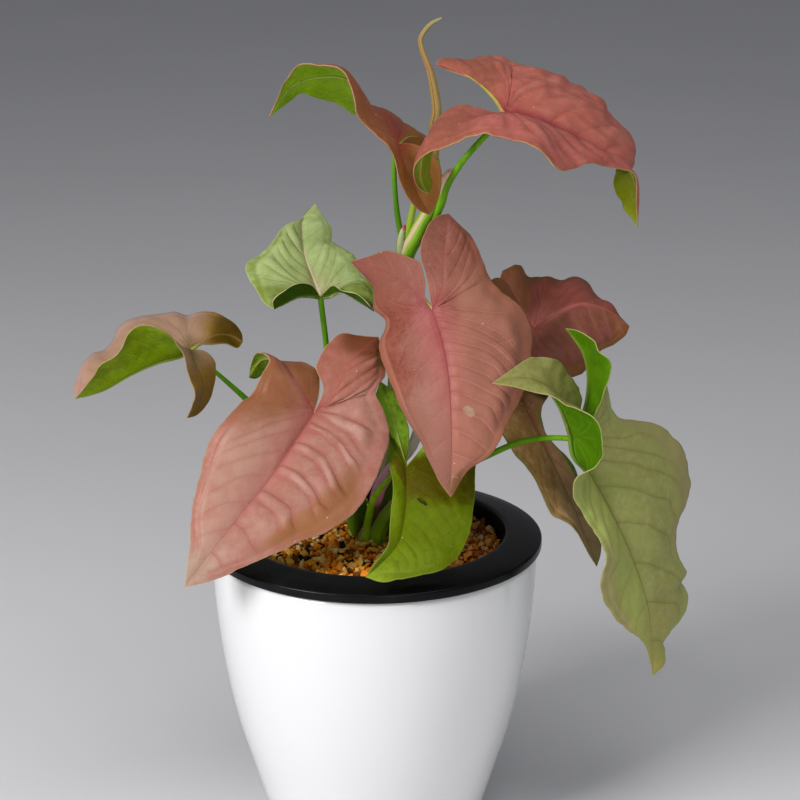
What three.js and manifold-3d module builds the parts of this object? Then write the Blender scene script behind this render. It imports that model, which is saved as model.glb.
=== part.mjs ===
// An arrowhead plant (Syngonium with pink and green leaves) in a round self-watering pot.
// Millimetres, +Z up. The origin is the centre of the pot's flat base, and +X is to the plant's right
// when it is seen from its front, which faces -Y.
//
// The plant is one crown with leaf stalks and a climbing stem, ten separate blades, and one new leaf
// that is still rolled. The pot is a white shell with a black liner that hangs in it by its rim and
// holds the clay granules in which the crown stands.
import * as THREE from "three";
import { mergeVertices } from "three/addons/utils/BufferGeometryUtils.js";
import Module from "manifold-3d";

const wasm = await Module();
wasm.setup();

// ---------------------------------------------------------------- driving dimensions, mm
const GAP = 0.3; // clearance between pieces that rest on each other

const POT_HEIGHT = 131;
const POT_WALL = 2.5;
const POT_FLOOR = 3;
const POT_TOP_RADIUS = 73;
const POT_SEGMENTS = 44;
// Outside of the shell from the base up: radius, height.
const POT_SIDE = [[44.5, 0], [47.5, 1.5], [49.5, 6], [55.6, 26], [62.7, 50], [68.3, 78], [71.7, 106]];

const RIM_RADIUS = 75; // the liner's rim, 150 mm across
const RIM_BAND = 4; // height of the rim's upright edge
const RIM_TOP = 138; // highest line of the rim, round the mouth
const RIM_SHOULDER = 6; // how far in from its edge the rim's slope turns towards flat
const RIM_ROUND = 0.8; // corner of the rim's edge
const MOUTH_RADIUS = 58; // at the lip's inner edge
const MOUTH_LIP = 2; // width of the round from the rim into the mouth
const MOUTH_DEPTH = 4; // how far down the lip's round ends
const LINER_WALL = 2;
const LINER_FLOOR_Z = 38;
const LINER_FLOOR_RADIUS = 44;
const DRAIN_HOLES = 6;
const DRAIN_RADIUS = 2;
const DRAIN_CIRCLE = 26;
const DRAIN_SIDES = 10;

const GRANULE_TOP = 131.5; // mean level of the granules
const GRANULE_RELIEF = 1.3; // how far single granules stand above or below it
const GRANULE_SIZE = 4; // distance from one granule to the next
const GRANULE_SCATTER = 0.6; // how far granules stand out of line, as a share of their distance
const GRANULE_SLACK = 0.6; // room between the granules and the liner's wall

const CROWN_CENTRE = [-4, 6];
const CROWN_RADIUS = 13;
const CROWN_BOTTOM = 100;
const CROWN_TOP = 128.5;
const CROWN_SIDES = 24;
const CROWN_CLEARANCE = 0.4;

const BLADE_THICKNESS = 0.7;
const BLADE_ACROSS = 3; // faces from the midrib to the margin
const STALK_SIDES = 7;
const STALK_STEP = 9; // length of one ring of a stalk
const JOINT_GAP = 0.4; // clearance between a stalk's end and its folded blade
const ROLLED_LEAF_STEP = 6;

// ---------------------------------------------------------------- colours
const COLOUR = {
  shell: 0xf2f2f4,
  liner: 0x101113,
  granules: 0x9a6a3c,
  stalk: 0x5f9e2a,
  rolled: 0xa8974f,
  pink: 0xb87068,
  brownPink: 0x9c6a5c,
  dullPink: 0x8a5558,
  paleGreen: 0x9fb873,
  brightGreen: 0x6f9c22,
};

// ---------------------------------------------------------------- the ten blades
// Each blade is a cage of points. joint is the notch where the stalk joins, and midrib runs from it to
// the tip. left and right are the halves seen from above with the tip pointing away. In each half a rib
// runs from the joint to the point of the lobe, inner is the lobe's edge back to the joint, and margin
// is the outer edge from the lobe's point to the tip. waist is the point of the margin level with the
// joint.
const BLADES = {
  front_left: {
    joint: [-26, -14, 196],
    midrib: [[-35, -25, 185], [-46, -38, 172], [-56, -48, 162], [-68, -58, 149], [-80, -60, 133]],
    left: {
      lobe: [2, 2, 226],
      rib: [[-19, -15, 203], [-13, -10, 214], [-6, -4, 221]],
      inner: [[-7, 4, 226], [-15, 4, 227], [-22, -2, 221], [-25, -8, 215], [-22, -13, 207]],
      margin: [[4, -3, 217], [5, -9, 212], [1, -15, 206], [4, -20, 199], [7, -24, 191],
        [5, -33, 183], [-1, -44, 173], [-8, -52, 164], [-18, -58, 158], [-29, -60, 155],
        [-40, -62, 150], [-52, -64, 145], [-67, -64, 138]],
      waist: 2,
    },
    right: {
      lobe: [-56, 14, 204],
      rib: [[-29, -13, 202], [-35, -10, 211], [-41, 0, 215], [-50, 12, 213]],
      inner: [[-53, 16, 203], [-46, 16, 208], [-37, 10, 212], [-30, 3, 214], [-25, -2, 212],
        [-24, -9, 204]],
      margin: [[-55, 13, 210], [-52, 8, 217], [-47, 0, 219], [-45, -7, 218], [-48, -12, 214],
        [-52, -16, 206], [-57, -20, 203], [-64, -26, 197], [-71, -32, 187], [-74, -40, 176],
        [-77, -48, 164], [-78, -55, 150], [-79, -59, 140]],
      waist: 6,
    },
  },
  centre: {
    joint: [25, -24, 245],
    midrib: [[29, -30, 234], [32, -39, 219], [33, -47, 199], [33, -50, 182], [33, -50, 170]],
    left: {
      lobe: [32, -6, 283],
      rib: [[29, -20, 253], [30, -14, 264], [31, -9, 274]],
      inner: [[27, -7, 282], [23, -9, 278], [20, -12, 268], [23, -17, 256]],
      margin: [[37, -6, 278], [42, -7, 273], [46, -10, 264], [50, -13, 256], [55, -15, 251],
        [63, -15, 244], [68, -17, 234], [68, -22, 226], [65, -31, 214], [58, -41, 202],
        [49, -48, 188], [40, -50, 182]],
      waist: 3,
    },
    right: {
      lobe: [-10, 6, 259],
      rib: [[20, -20, 250], [12, -12, 255], [2, -3, 258]],
      inner: [[-2, 3, 262], [6, -3, 266], [14, -9, 265], [20, -13, 263], [22, -18, 256],
        [22, -21, 250]],
      margin: [[-6, 4, 255], [-2, 1, 250], [0, -7, 241], [4, -11, 237], [2, -17, 228],
        [5, -24, 218], [12, -35, 204], [19, -43, 193], [24, -48, 185], [28, -50, 177]],
      waist: 3,
    },
  },
  top_right: {
    joint: [56, -8, 326],
    midrib: [[65, -10, 325], [79, -12, 320], [97, -11, 311], [108, -7, 304], [113, -4, 293],
      [113, -6, 277]],
    left: {
      lobe: [27, 34, 341],
      rib: [[52, 4, 331], [45, 16, 336], [37, 27, 339]],
      inner: [[31, 32, 339], [40, 23, 337], [49, 14, 335], [52, 4, 331]],
      margin: [[30, 36, 343], [37, 40, 342], [47, 45, 343], [61, 50, 340], [78, 48, 335],
        [92, 43, 330], [100, 38, 325], [102, 33, 320], [108, 28, 314], [114, 23, 308],
        [113, 19, 301], [105, 16, 297], [108, 6, 285]],
      waist: 3,
    },
    right: {
      lobe: [23, -23, 295],
      rib: [[47, -15, 326], [34, -23, 325], [23, -29, 321], [20, -28, 310], [20, -25, 301]],
      inner: [[25, -19, 298], [24, -19, 304], [25, -18, 314], [25, -15, 322], [31, -11, 327],
        [39, -7, 330], [49, -6, 327]],
      margin: [[19, -28, 299], [17, -33, 306], [19, -37, 312], [23, -40, 316], [32, -43, 319],
        [47, -45, 325], [54, -46, 324], [64, -47, 320], [76, -46, 311], [90, -30, 309],
        [102, -19, 306], [110, -13, 301], [112, -9, 290]],
      waist: 6,
    },
  },
  top_left: {
    joint: [10, -2, 312],
    midrib: [[5, 2, 320], [-3, 5, 330], [-11, 6, 339], [-22, 6, 340], [-34, 2, 337], [-44, -3, 324]],
    left: {
      lobe: [24, -14, 284],
      rib: [[12, -8, 308], [16, -14, 299], [20, -15, 291]],
      inner: [[27, -12, 289], [29, -11, 297], [28, -9, 305], [22, -8, 311], [15, -4, 313]],
      margin: [[19, -17, 287], [14, -20, 294], [11, -23, 304], [8, -24, 313], [1, -24, 320],
        [-4, -24, 326], [-8, -24, 337], [-13, -21, 347], [-20, -18, 349], [-29, -13, 348],
        [-37, -8, 339]],
      waist: 3,
    },
    right: {
      lobe: [28, 26, 304],
      rib: [[15, 8, 314], [22, 18, 311]],
      inner: [[27, 22, 300], [21, 12, 304], [14, 3, 309]],
      margin: [[25, 31, 308], [18, 35, 311], [11, 38, 316], [3, 39, 321], [-4, 37, 321],
        [-10, 33, 320], [-18, 28, 325], [-24, 22, 329], [-31, 14, 331], [-38, 4, 328]],
      waist: 2,
    },
  },
  back_left: {
    joint: [-24, 22, 239],
    midrib: [[-27, 27, 245], [-31, 37, 253], [-33, 50, 260], [-33, 62, 266], [-28, 74, 270]],
    left: {
      lobe: [-44, 8, 237],
      rib: [[-27, 20, 240], [-33, 15, 241], [-39, 11, 239]],
      inner: [[-44, 5, 242], [-39, 7, 246], [-34, 10, 248], [-28, 16, 246]],
      margin: [[-48, 10, 239], [-53, 17, 245], [-57, 23, 249], [-56, 30, 254], [-50, 36, 256],
        [-44, 44, 262], [-41, 50, 265], [-34, 60, 266]],
      waist: 2,
    },
    right: {
      lobe: [0, 8, 236],
      rib: [[-20, 20, 240], [-15, 15, 243], [-7, 11, 240]],
      inner: [[-2, 4, 240], [-7, 7, 244], [-14, 10, 245], [-18, 15, 246]],
      margin: [[1, 12, 241], [-1, 19, 246], [-6, 25, 248], [-9, 32, 255], [-17, 40, 258],
        [-20, 46, 259], [-20, 54, 263], [-23, 62, 266]],
      waist: 2,
    },
  },
  far_left: {
    joint: [-81, 4, 220],
    midrib: [[-85, 2, 218], [-95, -2, 216], [-107, -5, 211], [-118, -8, 205], [-130, -12, 202]],
    left: {
      lobe: [-82, -8, 192],
      rib: [[-78, 0, 214], [-75, -3, 207], [-77, -5, 198]],
      inner: [[-78, -3, 192], [-73, 1, 197], [-70, 4, 207], [-71, 6, 215], [-75, 5, 219]],
      margin: [[-79, -13, 200], [-77, -16, 207], [-80, -16, 215], [-83, -16, 224], [-86, -18, 232],
        [-90, -21, 236], [-96, -24, 238], [-103, -26, 236], [-110, -26, 227], [-116, -25, 222],
        [-121, -22, 214], [-126, -18, 208]],
      waist: 3,
    },
    right: {
      lobe: [-59, 22, 218],
      rib: [[-76, 9, 222], [-70, 17, 223], [-64, 22, 221]],
      inner: [[-61, 20, 216], [-66, 16, 219], [-72, 11, 220], [-77, 7, 221]],
      margin: [[-60, 27, 221], [-65, 33, 225], [-73, 38, 228], [-80, 40, 227], [-85, 40, 225],
        [-91, 42, 227], [-99, 40, 227], [-107, 36, 226], [-115, 29, 223], [-120, 20, 216],
        [-126, 12, 215], [-130, 2, 210], [-131, -7, 205]],
      waist: 4,
    },
  },
  low_front: {
    joint: [14, -32, 177],
    midrib: [[14, -42, 170], [13, -53, 161], [10, -63, 153], [-3, -76, 144]],
    left: {
      lobe: [34, -4, 197],
      rib: [[20, -25, 182], [27, -14, 189]],
      inner: [[29, -5, 195], [24, -12, 186], [21, -21, 180], [17, -27, 178]],
      margin: [[41, -12, 194], [44, -21, 185], [44, -29, 176], [43, -41, 166], [42, -50, 160],
        [39, -58, 152], [34, -66, 147], [28, -71, 145], [21, -74, 144], [11, -78, 144],
        [4, -79, 143]],
      waist: 2,
    },
    right: {
      lobe: [3, -6, 208],
      rib: [[11, -24, 185], [8, -15, 196]],
      inner: [[8, -7, 204], [12, -10, 197], [15, -16, 190], [15, -23, 183]],
      margin: [[1, -8, 202], [3, -11, 196], [6, -15, 190], [7, -21, 185], [7, -29, 181],
        [8, -41, 174], [8, -50, 167], [7, -60, 159], [6, -66, 154], [1, -73, 149]],
      waist: 3,
    },
  },
  right_drooping: {
    joint: [85, -33, 191],
    midrib: [[87, -31, 182], [94, -28, 172], [105, -30, 152], [113, -30, 134], [120, -28, 113],
      [123, -24, 94], [125, -18, 74]],
    left: {
      lobe: [82, -24, 237],
      rib: [[89, -28, 196], [92, -25, 205], [92, -25, 218], [89, -25, 228]],
      inner: [[87, -28, 237], [93, -33, 234], [95, -36, 230], [100, -39, 226], [100, -41, 220],
        [98, -41, 213], [94, -39, 204], [90, -36, 196]],
      margin: [[88, -19, 232], [94, -13, 223], [99, -9, 212], [103, -8, 202], [107, -8, 193],
        [115, -5, 190], [124, -1, 187], [132, 2, 180], [138, 4, 172], [142, 6, 159], [140, 3, 148],
        [135, -2, 142], [134, -6, 135], [136, -7, 127], [141, -5, 118], [138, -6, 114],
        [141, -4, 108], [140, -5, 100], [135, -8, 93], [130, -13, 88], [131, -14, 84],
        [130, -16, 78]],
      waist: 4,
    },
    right: {
      lobe: [50, -46, 219],
      rib: [[82, -36, 200], [78, -39, 209], [71, -42, 218], [61, -44, 221]],
      inner: [[57, -42, 223], [68, -36, 228], [78, -32, 225], [84, -29, 218], [88, -27, 212],
        [90, -26, 204], [88, -29, 196]],
      margin: [[58, -47, 218], [67, -48, 216], [75, -49, 215], [81, -50, 212], [88, -51, 208],
        [94, -52, 203], [97, -51, 195], [97, -49, 187], [93, -48, 182], [87, -46, 178],
        [85, -45, 173], [86, -44, 167], [92, -44, 158], [98, -45, 147], [100, -45, 140],
        [98, -45, 130], [100, -42, 119], [109, -35, 105], [119, -28, 94], [123, -22, 83]],
      waist: 6,
    },
  },
  back_right: {
    joint: [71, 20, 225],
    midrib: [[80, 20, 231], [92, 21, 236], [103, 23, 233], [114, 24, 225]],
    left: {
      lobe: [57, 26, 250],
      rib: [[68, 21, 231], [62, 24, 241]],
      inner: [[56, 24, 246], [60, 21, 237], [66, 19, 229]],
      margin: [[64, 32, 251], [70, 36, 245], [77, 40, 244], [84, 43, 242], [91, 46, 242],
        [97, 46, 239], [102, 42, 233], [107, 36, 231], [111, 29, 227]],
      waist: 2,
    },
    right: {
      lobe: [45, 0, 242],
      rib: [[64, 14, 231], [55, 6, 238]],
      inner: [[48, 4, 249], [55, 8, 251], [62, 13, 241]],
      margin: [[50, -3, 233], [58, -5, 221], [70, -5, 213], [82, -3, 209], [91, 3, 209],
        [96, 8, 212], [101, 14, 217], [107, 19, 218], [112, 22, 221]],
      waist: 2,
    },
  },
  low_right: {
    joint: [65, 4, 198],
    midrib: [[71, 0, 186], [80, -5, 168], [90, -9, 147], [99, -12, 124]],
    left: {
      lobe: [76, 10, 206],
      rib: [[71, 7, 202]],
      inner: [[71, 12, 206], [66, 8, 202]],
      margin: [[78, 8, 199], [74, 5, 192], [76, 4, 182], [82, 6, 174], [88, 6, 166], [93, 5, 157],
        [98, 3, 146], [101, -2, 137], [101, -8, 129]],
      waist: 1,
    },
    right: {
      lobe: [50, -6, 203],
      rib: [[58, -1, 201]],
      inner: [[54, 0, 205], [60, 4, 202]],
      margin: [[52, -10, 194], [56, -14, 186], [62, -17, 178], [68, -19, 172], [74, -21, 159],
        [79, -22, 152], [85, -21, 148], [91, -19, 139], [96, -16, 130]],
      waist: 1,
    },
  },
};

// puff is how far a half arches up between its midrib and margin, as a share of its width. wave is the
// height of the ripples along its margin.
const BLADE_FORM = {
  front_left: { puff: 0.09, wave: 0.9, ripples: 5, rows: [6, 13], colour: COLOUR.pink },
  centre: { puff: 0.08, wave: 0.7, ripples: 5, rows: [6, 12], colour: COLOUR.pink },
  top_right: { puff: 0.08, wave: 1.0, ripples: 5, rows: [7, 13], colour: COLOUR.pink },
  top_left: { puff: 0.05, wave: 0.7, ripples: 4, rows: [5, 12], colour: COLOUR.brownPink },
  back_left: { puff: 0.08, wave: 0.8, ripples: 4, rows: [5, 10], colour: COLOUR.paleGreen },
  far_left: { puff: 0.04, wave: 0.8, ripples: 4, rows: [6, 12], colour: COLOUR.brownPink },
  low_front: { puff: 0.07, wave: 0.7, ripples: 4, rows: [5, 11], colour: COLOUR.brightGreen },
  right_drooping: { puff: 0.07, wave: 0.8, ripples: 5, rows: [9, 18], colour: COLOUR.paleGreen },
  back_right: { puff: 0.08, wave: 0.7, ripples: 4, rows: [5, 10], colour: COLOUR.dullPink },
  low_right: { puff: 0.07, wave: 0.7, ripples: 4, rows: [4, 10], colour: COLOUR.brownPink },
};

// ---------------------------------------------------------------- stalks
// x, y, z and radius along each stalk. Each one but the climbing stem ends under the joint of its
// blade, and the rolled new leaf grows out of the climbing stem's top.
const CLIMBING_STEM = "main";
const STALKS = {
  main: [[0, 7, 124, 4.6], [2, 6, 142, 4.6], [8, 6, 177, 4.3], [11, 5, 219, 4.2],
    [13, 3, 260, 4.0], [19, 2, 273, 3.7], [24, 2, 283, 3.1], [27, 2, 294, 2.6], [26, 1, 305, 2.3]],
  front_left: [[-9, 9, 124, 2.6], [-10, 8, 142, 2.6], [-14, 6, 163, 2.2], [-20, -2, 184, 1.4]],
  centre: [[-2, 2, 124, 2.8], [2, -6, 158, 3.0], [9, -8, 170, 2.8], [17, -9, 180, 2.4],
    [22, -9, 201, 1.9], [25, -11, 226, 1.5]],
  top_right: [[25, 2, 277, 2.0], [29, 1, 286, 2.0], [31, 0, 293, 1.8], [38, -3, 305, 1.4],
    [48, -6, 317, 1.3]],
  top_left: [[14, 4, 264, 1.6], [11, 2, 276, 1.3], [9, 0, 296, 1.1]],
  back_left: [[-6, 12, 124, 2.4], [-6, 14, 146, 2.2], [-13, 18, 169, 1.7], [-20, 24, 195, 1.4],
    [-22, 26, 218, 1.3]],
  far_left: [[-11, 8, 124, 2.2], [-11, 10, 147, 2.2], [-22, 12, 162, 1.7], [-40, 12, 177, 1.4],
    [-57, 10, 195, 1.3], [-70, 8, 208, 1.0]],
  low_front: [[-5, -2, 124, 1.8], [-3, -7, 143, 1.7], [0, -14, 157, 1.5], [6, -22, 168, 1.3],
    [10, -28, 174, 1.2]],
  right_drooping: [[1, 0, 124, 3.2], [3, -3, 141, 3.4], [13, -7, 154, 2.6], [29, -12, 166, 1.7],
    [47, -16, 176, 1.4], [64, -20, 185, 1.3], [77, -27, 189, 1.2]],
  back_right: [[3, 9, 124, 2.4], [7, 8, 146, 2.4], [25, 12, 168, 1.9], [43, 16, 193, 1.5],
    [58, 20, 213, 1.3]],
  low_right: [[3, 11, 124, 2.4], [4, 10, 140, 2.4], [20, 6, 163, 1.8], [43, 4, 185, 1.5],
    [56, 4, 194, 1.3]],
};
const ROLLED_LEAF = [[26, 0, 312, 2.3], [26, -1, 320, 2.2], [27, -2, 326, 2.15], [26, -3, 335, 1.9],
  [24, -4, 344, 1.5], [21, -5, 352, 1.1], [20, -5, 357, 0.95], [22, -5, 361, 0.9],
  [25, -5, 364, 0.75], [29, -5, 366, 0.35]];

// ---------------------------------------------------------------- helpers
const vector = ([x, y, z]) => new THREE.Vector3(x, y, z);

// A seeded random number from 0 to 1.
function randomSource(seed) {
  let state = seed;
  return () => {
    state = (Math.imul(state, 1664525) + 1013904223) >>> 0;
    return state / 4294967296;
  };
}

function meshOf(name, geometry, colour, roughness) {
  const material = new THREE.MeshStandardMaterial({ color: colour, roughness, metalness: 0 });
  const mesh = new THREE.Mesh(geometry, material);
  mesh.name = name;
  return mesh;
}

function geometryOf(positions, triangles) {
  const geometry = new THREE.BufferGeometry();
  geometry.setAttribute("position", new THREE.Float32BufferAttribute(positions, 3));
  geometry.setIndex(triangles);
  return geometry;
}

function solidOf(geometry) {
  const bare = geometry.clone();
  bare.deleteAttribute("normal");
  bare.deleteAttribute("uv");
  const merged = mergeVertices(bare, 1e-4);
  const vertProperties = new Float32Array(merged.attributes.position.array);
  const triVerts = new Uint32Array(merged.index.array);
  return new wasm.Manifold(new wasm.Mesh({ numProp: 3, vertProperties, triVerts }));
}

function geometryFrom(solid) {
  const mesh = solid.getMesh();
  return geometryOf(Array.from(mesh.vertProperties), Array.from(mesh.triVerts));
}

// A solid of revolution from a closed or axis-to-axis profile of [radius, height] points.
function turned(profile, segments) {
  const points = profile.map(([radius, height]) => new THREE.Vector2(radius, height));
  return new THREE.LatheGeometry(points, segments).rotateX(Math.PI / 2);
}

// An upright round bar from one height to another.
function bar([x, y], radius, low, high, sides) {
  const geometry = new THREE.CylinderGeometry(radius, radius, high - low, sides);
  return geometry.rotateX(Math.PI / 2).translate(x, y, (low + high) / 2);
}

// A smooth curve through points, with the share of its length at each of them.
function curveThrough(points) {
  const curve = new THREE.CatmullRomCurve3(points.map(vector), false, "centripetal");
  const divisionsPerSpan = 20;
  curve.arcLengthDivisions = divisionsPerSpan * (points.length - 1);
  const lengths = curve.getLengths();
  const total = lengths[lengths.length - 1];
  const shareAt = (index) => lengths[divisionsPerSpan * index] / total;
  return { at: (share) => curve.getPointAt(share), shareAt, total, curve };
}

// A closed tube round a path of [x, y, z, radius] points.
function taperedTube(path, sides, step) {
  const { curve, total, shareAt } = curveThrough(path);
  const rings = Math.max(2, Math.round(total / step));
  const frames = curve.computeFrenetFrames(rings, false);
  const radiusAt = (share) => {
    const last = path.length - 1;
    let span = 0;
    while (span < last - 1 && shareAt(span + 1) < share) span += 1;
    const start = shareAt(span);
    const mix = (share - start) / (shareAt(span + 1) - start);
    return path[span][3] + (path[span + 1][3] - path[span][3]) * mix;
  };
  const positions = [];
  for (let ring = 0; ring <= rings; ring += 1) {
    const share = ring / rings;
    const centre = curve.getPointAt(share);
    for (let side = 0; side < sides; side += 1) {
      const angle = (2 * Math.PI * side) / sides;
      const out = frames.normals[ring].clone().multiplyScalar(Math.cos(angle));
      out.addScaledVector(frames.binormals[ring], Math.sin(angle));
      positions.push(...centre.clone().addScaledVector(out, radiusAt(share)).toArray());
    }
  }
  const triangles = [];
  for (let ring = 0; ring < rings; ring += 1) {
    for (let side = 0; side < sides; side += 1) {
      const next = (side + 1) % sides;
      const a = ring * sides + side;
      const b = ring * sides + next;
      triangles.push(a, b, b + sides, a, b + sides, a + sides);
    }
  }
  const top = rings * sides;
  for (let side = 1; side < sides - 1; side += 1) {
    triangles.push(0, side + 1, side);
    triangles.push(top, top + side, top + side + 1);
  }
  return geometryOf(positions, triangles);
}

// ---------------------------------------------------------------- blades
// Lays a strip of faces between two curves that share both ends. up is 1 where the strip runs towards
// the tip on the right of the inner curve, and -1 on the left.
function layStrip(sheet, pairs, across, up, form) {
  const last = pairs.length - 1;
  const rows = pairs.map(([inner, outer], row) => {
    const share = row / last;
    const reach = outer.clone().sub(inner);
    const width = reach.length();
    const before = pairs[Math.max(row - 1, 0)];
    const after = pairs[Math.min(row + 1, last)];
    const along = after[0].clone().add(after[1]).sub(before[0]).sub(before[1]);
    const normal = reach.clone().cross(along).normalize().multiplyScalar(up);
    const fade = Math.sin(Math.PI * share);
    const line = [];
    for (let step = 0; step <= across; step += 1) {
      const v = step / across;
      const arch = form.puff * width * 4 * v * (1 - v);
      const ripple = form.wave * fade * v * v * Math.sin(2 * Math.PI * form.ripples * share);
      const point = inner.clone().addScaledVector(reach, v);
      line.push(sheet.add(point.addScaledVector(normal, arch + ripple)));
    }
    return line;
  });
  for (let row = 0; row < last; row += 1) {
    for (let step = 0; step < across; step += 1) {
      const a = rows[row][step];
      const b = rows[row][step + 1];
      const c = rows[row + 1][step + 1];
      const d = rows[row + 1][step];
      const faces = up > 0 ? [[a, b, c], [a, c, d]] : [[a, c, b], [a, d, c]];
      faces.forEach((face) => sheet.face(face));
    }
  }
}

// A sheet of triangles whose points are shared by place.
function newSheet() {
  const points = [];
  const faces = [];
  const known = new Map();
  return {
    points,
    faces,
    add(point) {
      const key = point.toArray().map((value) => Math.round(value * 1000)).join();
      if (!known.has(key)) {
        known.set(key, points.length);
        points.push(point);
      }
      return known.get(key);
    },
    face([a, b, c]) {
      if (a !== b && b !== c && c !== a) faces.push([a, b, c]);
    },
  };
}

// The middle surface of one blade: a strip from midrib to margin and one along the lobe, on each side.
function bladeSheet(cage, form) {
  const sheet = newSheet();
  const [lobeRows, bladeRows] = form.rows;
  const tip = cage.midrib[cage.midrib.length - 1];
  const midrib = curveThrough([cage.joint, ...cage.midrib]);
  [["left", -1], ["right", 1]].forEach(([side, up]) => {
    const half = cage[side];
    const rib = curveThrough([cage.joint, ...half.rib, half.lobe]);
    const inner = curveThrough([half.lobe, ...half.inner, cage.joint]);
    const margin = curveThrough([half.lobe, ...half.margin, tip]);
    const waist = margin.shareAt(half.waist + 1);
    const main = [];
    const lobe = [];
    for (let row = 0; row <= lobeRows; row += 1) {
      const share = row / lobeRows;
      main.push([rib.at(1 - share), margin.at(waist * share)]);
      lobe.push([rib.at(1 - share), inner.at(share)]);
    }
    for (let row = 1; row <= bladeRows; row += 1) {
      const share = row / bladeRows;
      main.push([midrib.at(share), margin.at(waist + (1 - waist) * share)]);
    }
    layStrip(sheet, main, BLADE_ACROSS, up, form);
    layStrip(sheet, lobe, 1, -up, { puff: 0, wave: 0, ripples: 0 });
  });
  return sheet;
}

function sheetNormals({ points, faces }) {
  const normals = points.map(() => new THREE.Vector3());
  faces.forEach((face) => {
    const [a, b, c] = face.map((index) => points[index]);
    const area = b.clone().sub(a).cross(c.clone().sub(a));
    face.forEach((index) => normals[index].add(area));
  });
  return normals.map((normal) => normal.normalize());
}

// Gives a sheet its thickness: the same triangles above and below, and a rim along its open edge.
function thickened(sheet, normals, thickness) {
  const { points, faces } = sheet;
  const positions = [];
  [1, -1].forEach((side) => {
    points.forEach((point, index) => {
      const shifted = point.clone().addScaledVector(normals[index], (side * thickness) / 2);
      positions.push(...shifted.toArray());
    });
  });
  const count = points.length;
  const triangles = [];
  const edges = new Set();
  faces.forEach(([a, b, c]) => {
    triangles.push(a, b, c, a + count, c + count, b + count);
    [[a, b], [b, c], [c, a]].forEach((edge) => edges.add(edge.join()));
  });
  faces.forEach(([a, b, c]) => {
    [[a, b], [b, c], [c, a]].forEach(([from, to]) => {
      if (edges.has([to, from].join())) return;
      triangles.push(to, from, from + count, to, from + count, to + count);
    });
  });
  return geometryOf(positions, triangles);
}

// ---------------------------------------------------------------- pot
function potShell() {
  const [footRadius] = POT_SIDE[2];
  const outside = [...POT_SIDE, [POT_TOP_RADIUS, POT_HEIGHT]];
  const inside = outside.filter(([, height]) => height > POT_FLOOR)
    .map(([radius, height]) => [radius - POT_WALL, height])
    .reverse();
  const floor = [[footRadius - 1.5 * POT_WALL, POT_FLOOR], [0, POT_FLOOR]];
  return turned([[0, 0], ...outside, ...inside, ...floor], POT_SEGMENTS);
}

// The bowl and its rim, which rests on the shell's lip and slopes up to the mouth.
function potLiner() {
  const under = POT_HEIGHT + GAP;
  const wall = MOUTH_RADIUS + LINER_WALL;
  const profile = [
    [0, LINER_FLOOR_Z - LINER_WALL],
    [LINER_FLOOR_RADIUS + LINER_WALL / 2, LINER_FLOOR_Z - LINER_WALL],
    [LINER_FLOOR_RADIUS + LINER_WALL, LINER_FLOOR_Z],
    [wall - LINER_WALL / 2, under - LINER_WALL],
    [wall + LINER_WALL / 2, under],
    [RIM_RADIUS - RIM_ROUND, under],
    [RIM_RADIUS, under + RIM_ROUND],
    [RIM_RADIUS, under + RIM_BAND - RIM_ROUND],
    [RIM_RADIUS - RIM_ROUND, under + RIM_BAND],
    [RIM_RADIUS - RIM_SHOULDER, RIM_TOP - 1.5 * RIM_ROUND],
    [RIM_RADIUS - 2 * RIM_SHOULDER, RIM_TOP - RIM_ROUND / 3],
    [MOUTH_RADIUS + MOUTH_LIP, RIM_TOP],
    [MOUTH_RADIUS + MOUTH_LIP / 4, RIM_TOP - MOUTH_LIP / 3],
    [MOUTH_RADIUS, RIM_TOP - MOUTH_DEPTH],
    [LINER_FLOOR_RADIUS, LINER_FLOOR_Z],
    [0, LINER_FLOOR_Z],
  ];
  let solid = solidOf(turned(profile, POT_SEGMENTS));
  for (let hole = 0; hole < DRAIN_HOLES; hole += 1) {
    const angle = (2 * Math.PI * hole) / DRAIN_HOLES;
    const place = [DRAIN_CIRCLE * Math.cos(angle), DRAIN_CIRCLE * Math.sin(angle)];
    const low = LINER_FLOOR_Z - 2 * LINER_WALL;
    const high = LINER_FLOOR_Z + LINER_WALL;
    solid = solid.subtract(solidOf(bar(place, DRAIN_RADIUS, low, high, DRAIN_SIDES)));
  }
  return geometryFrom(solid);
}

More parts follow.
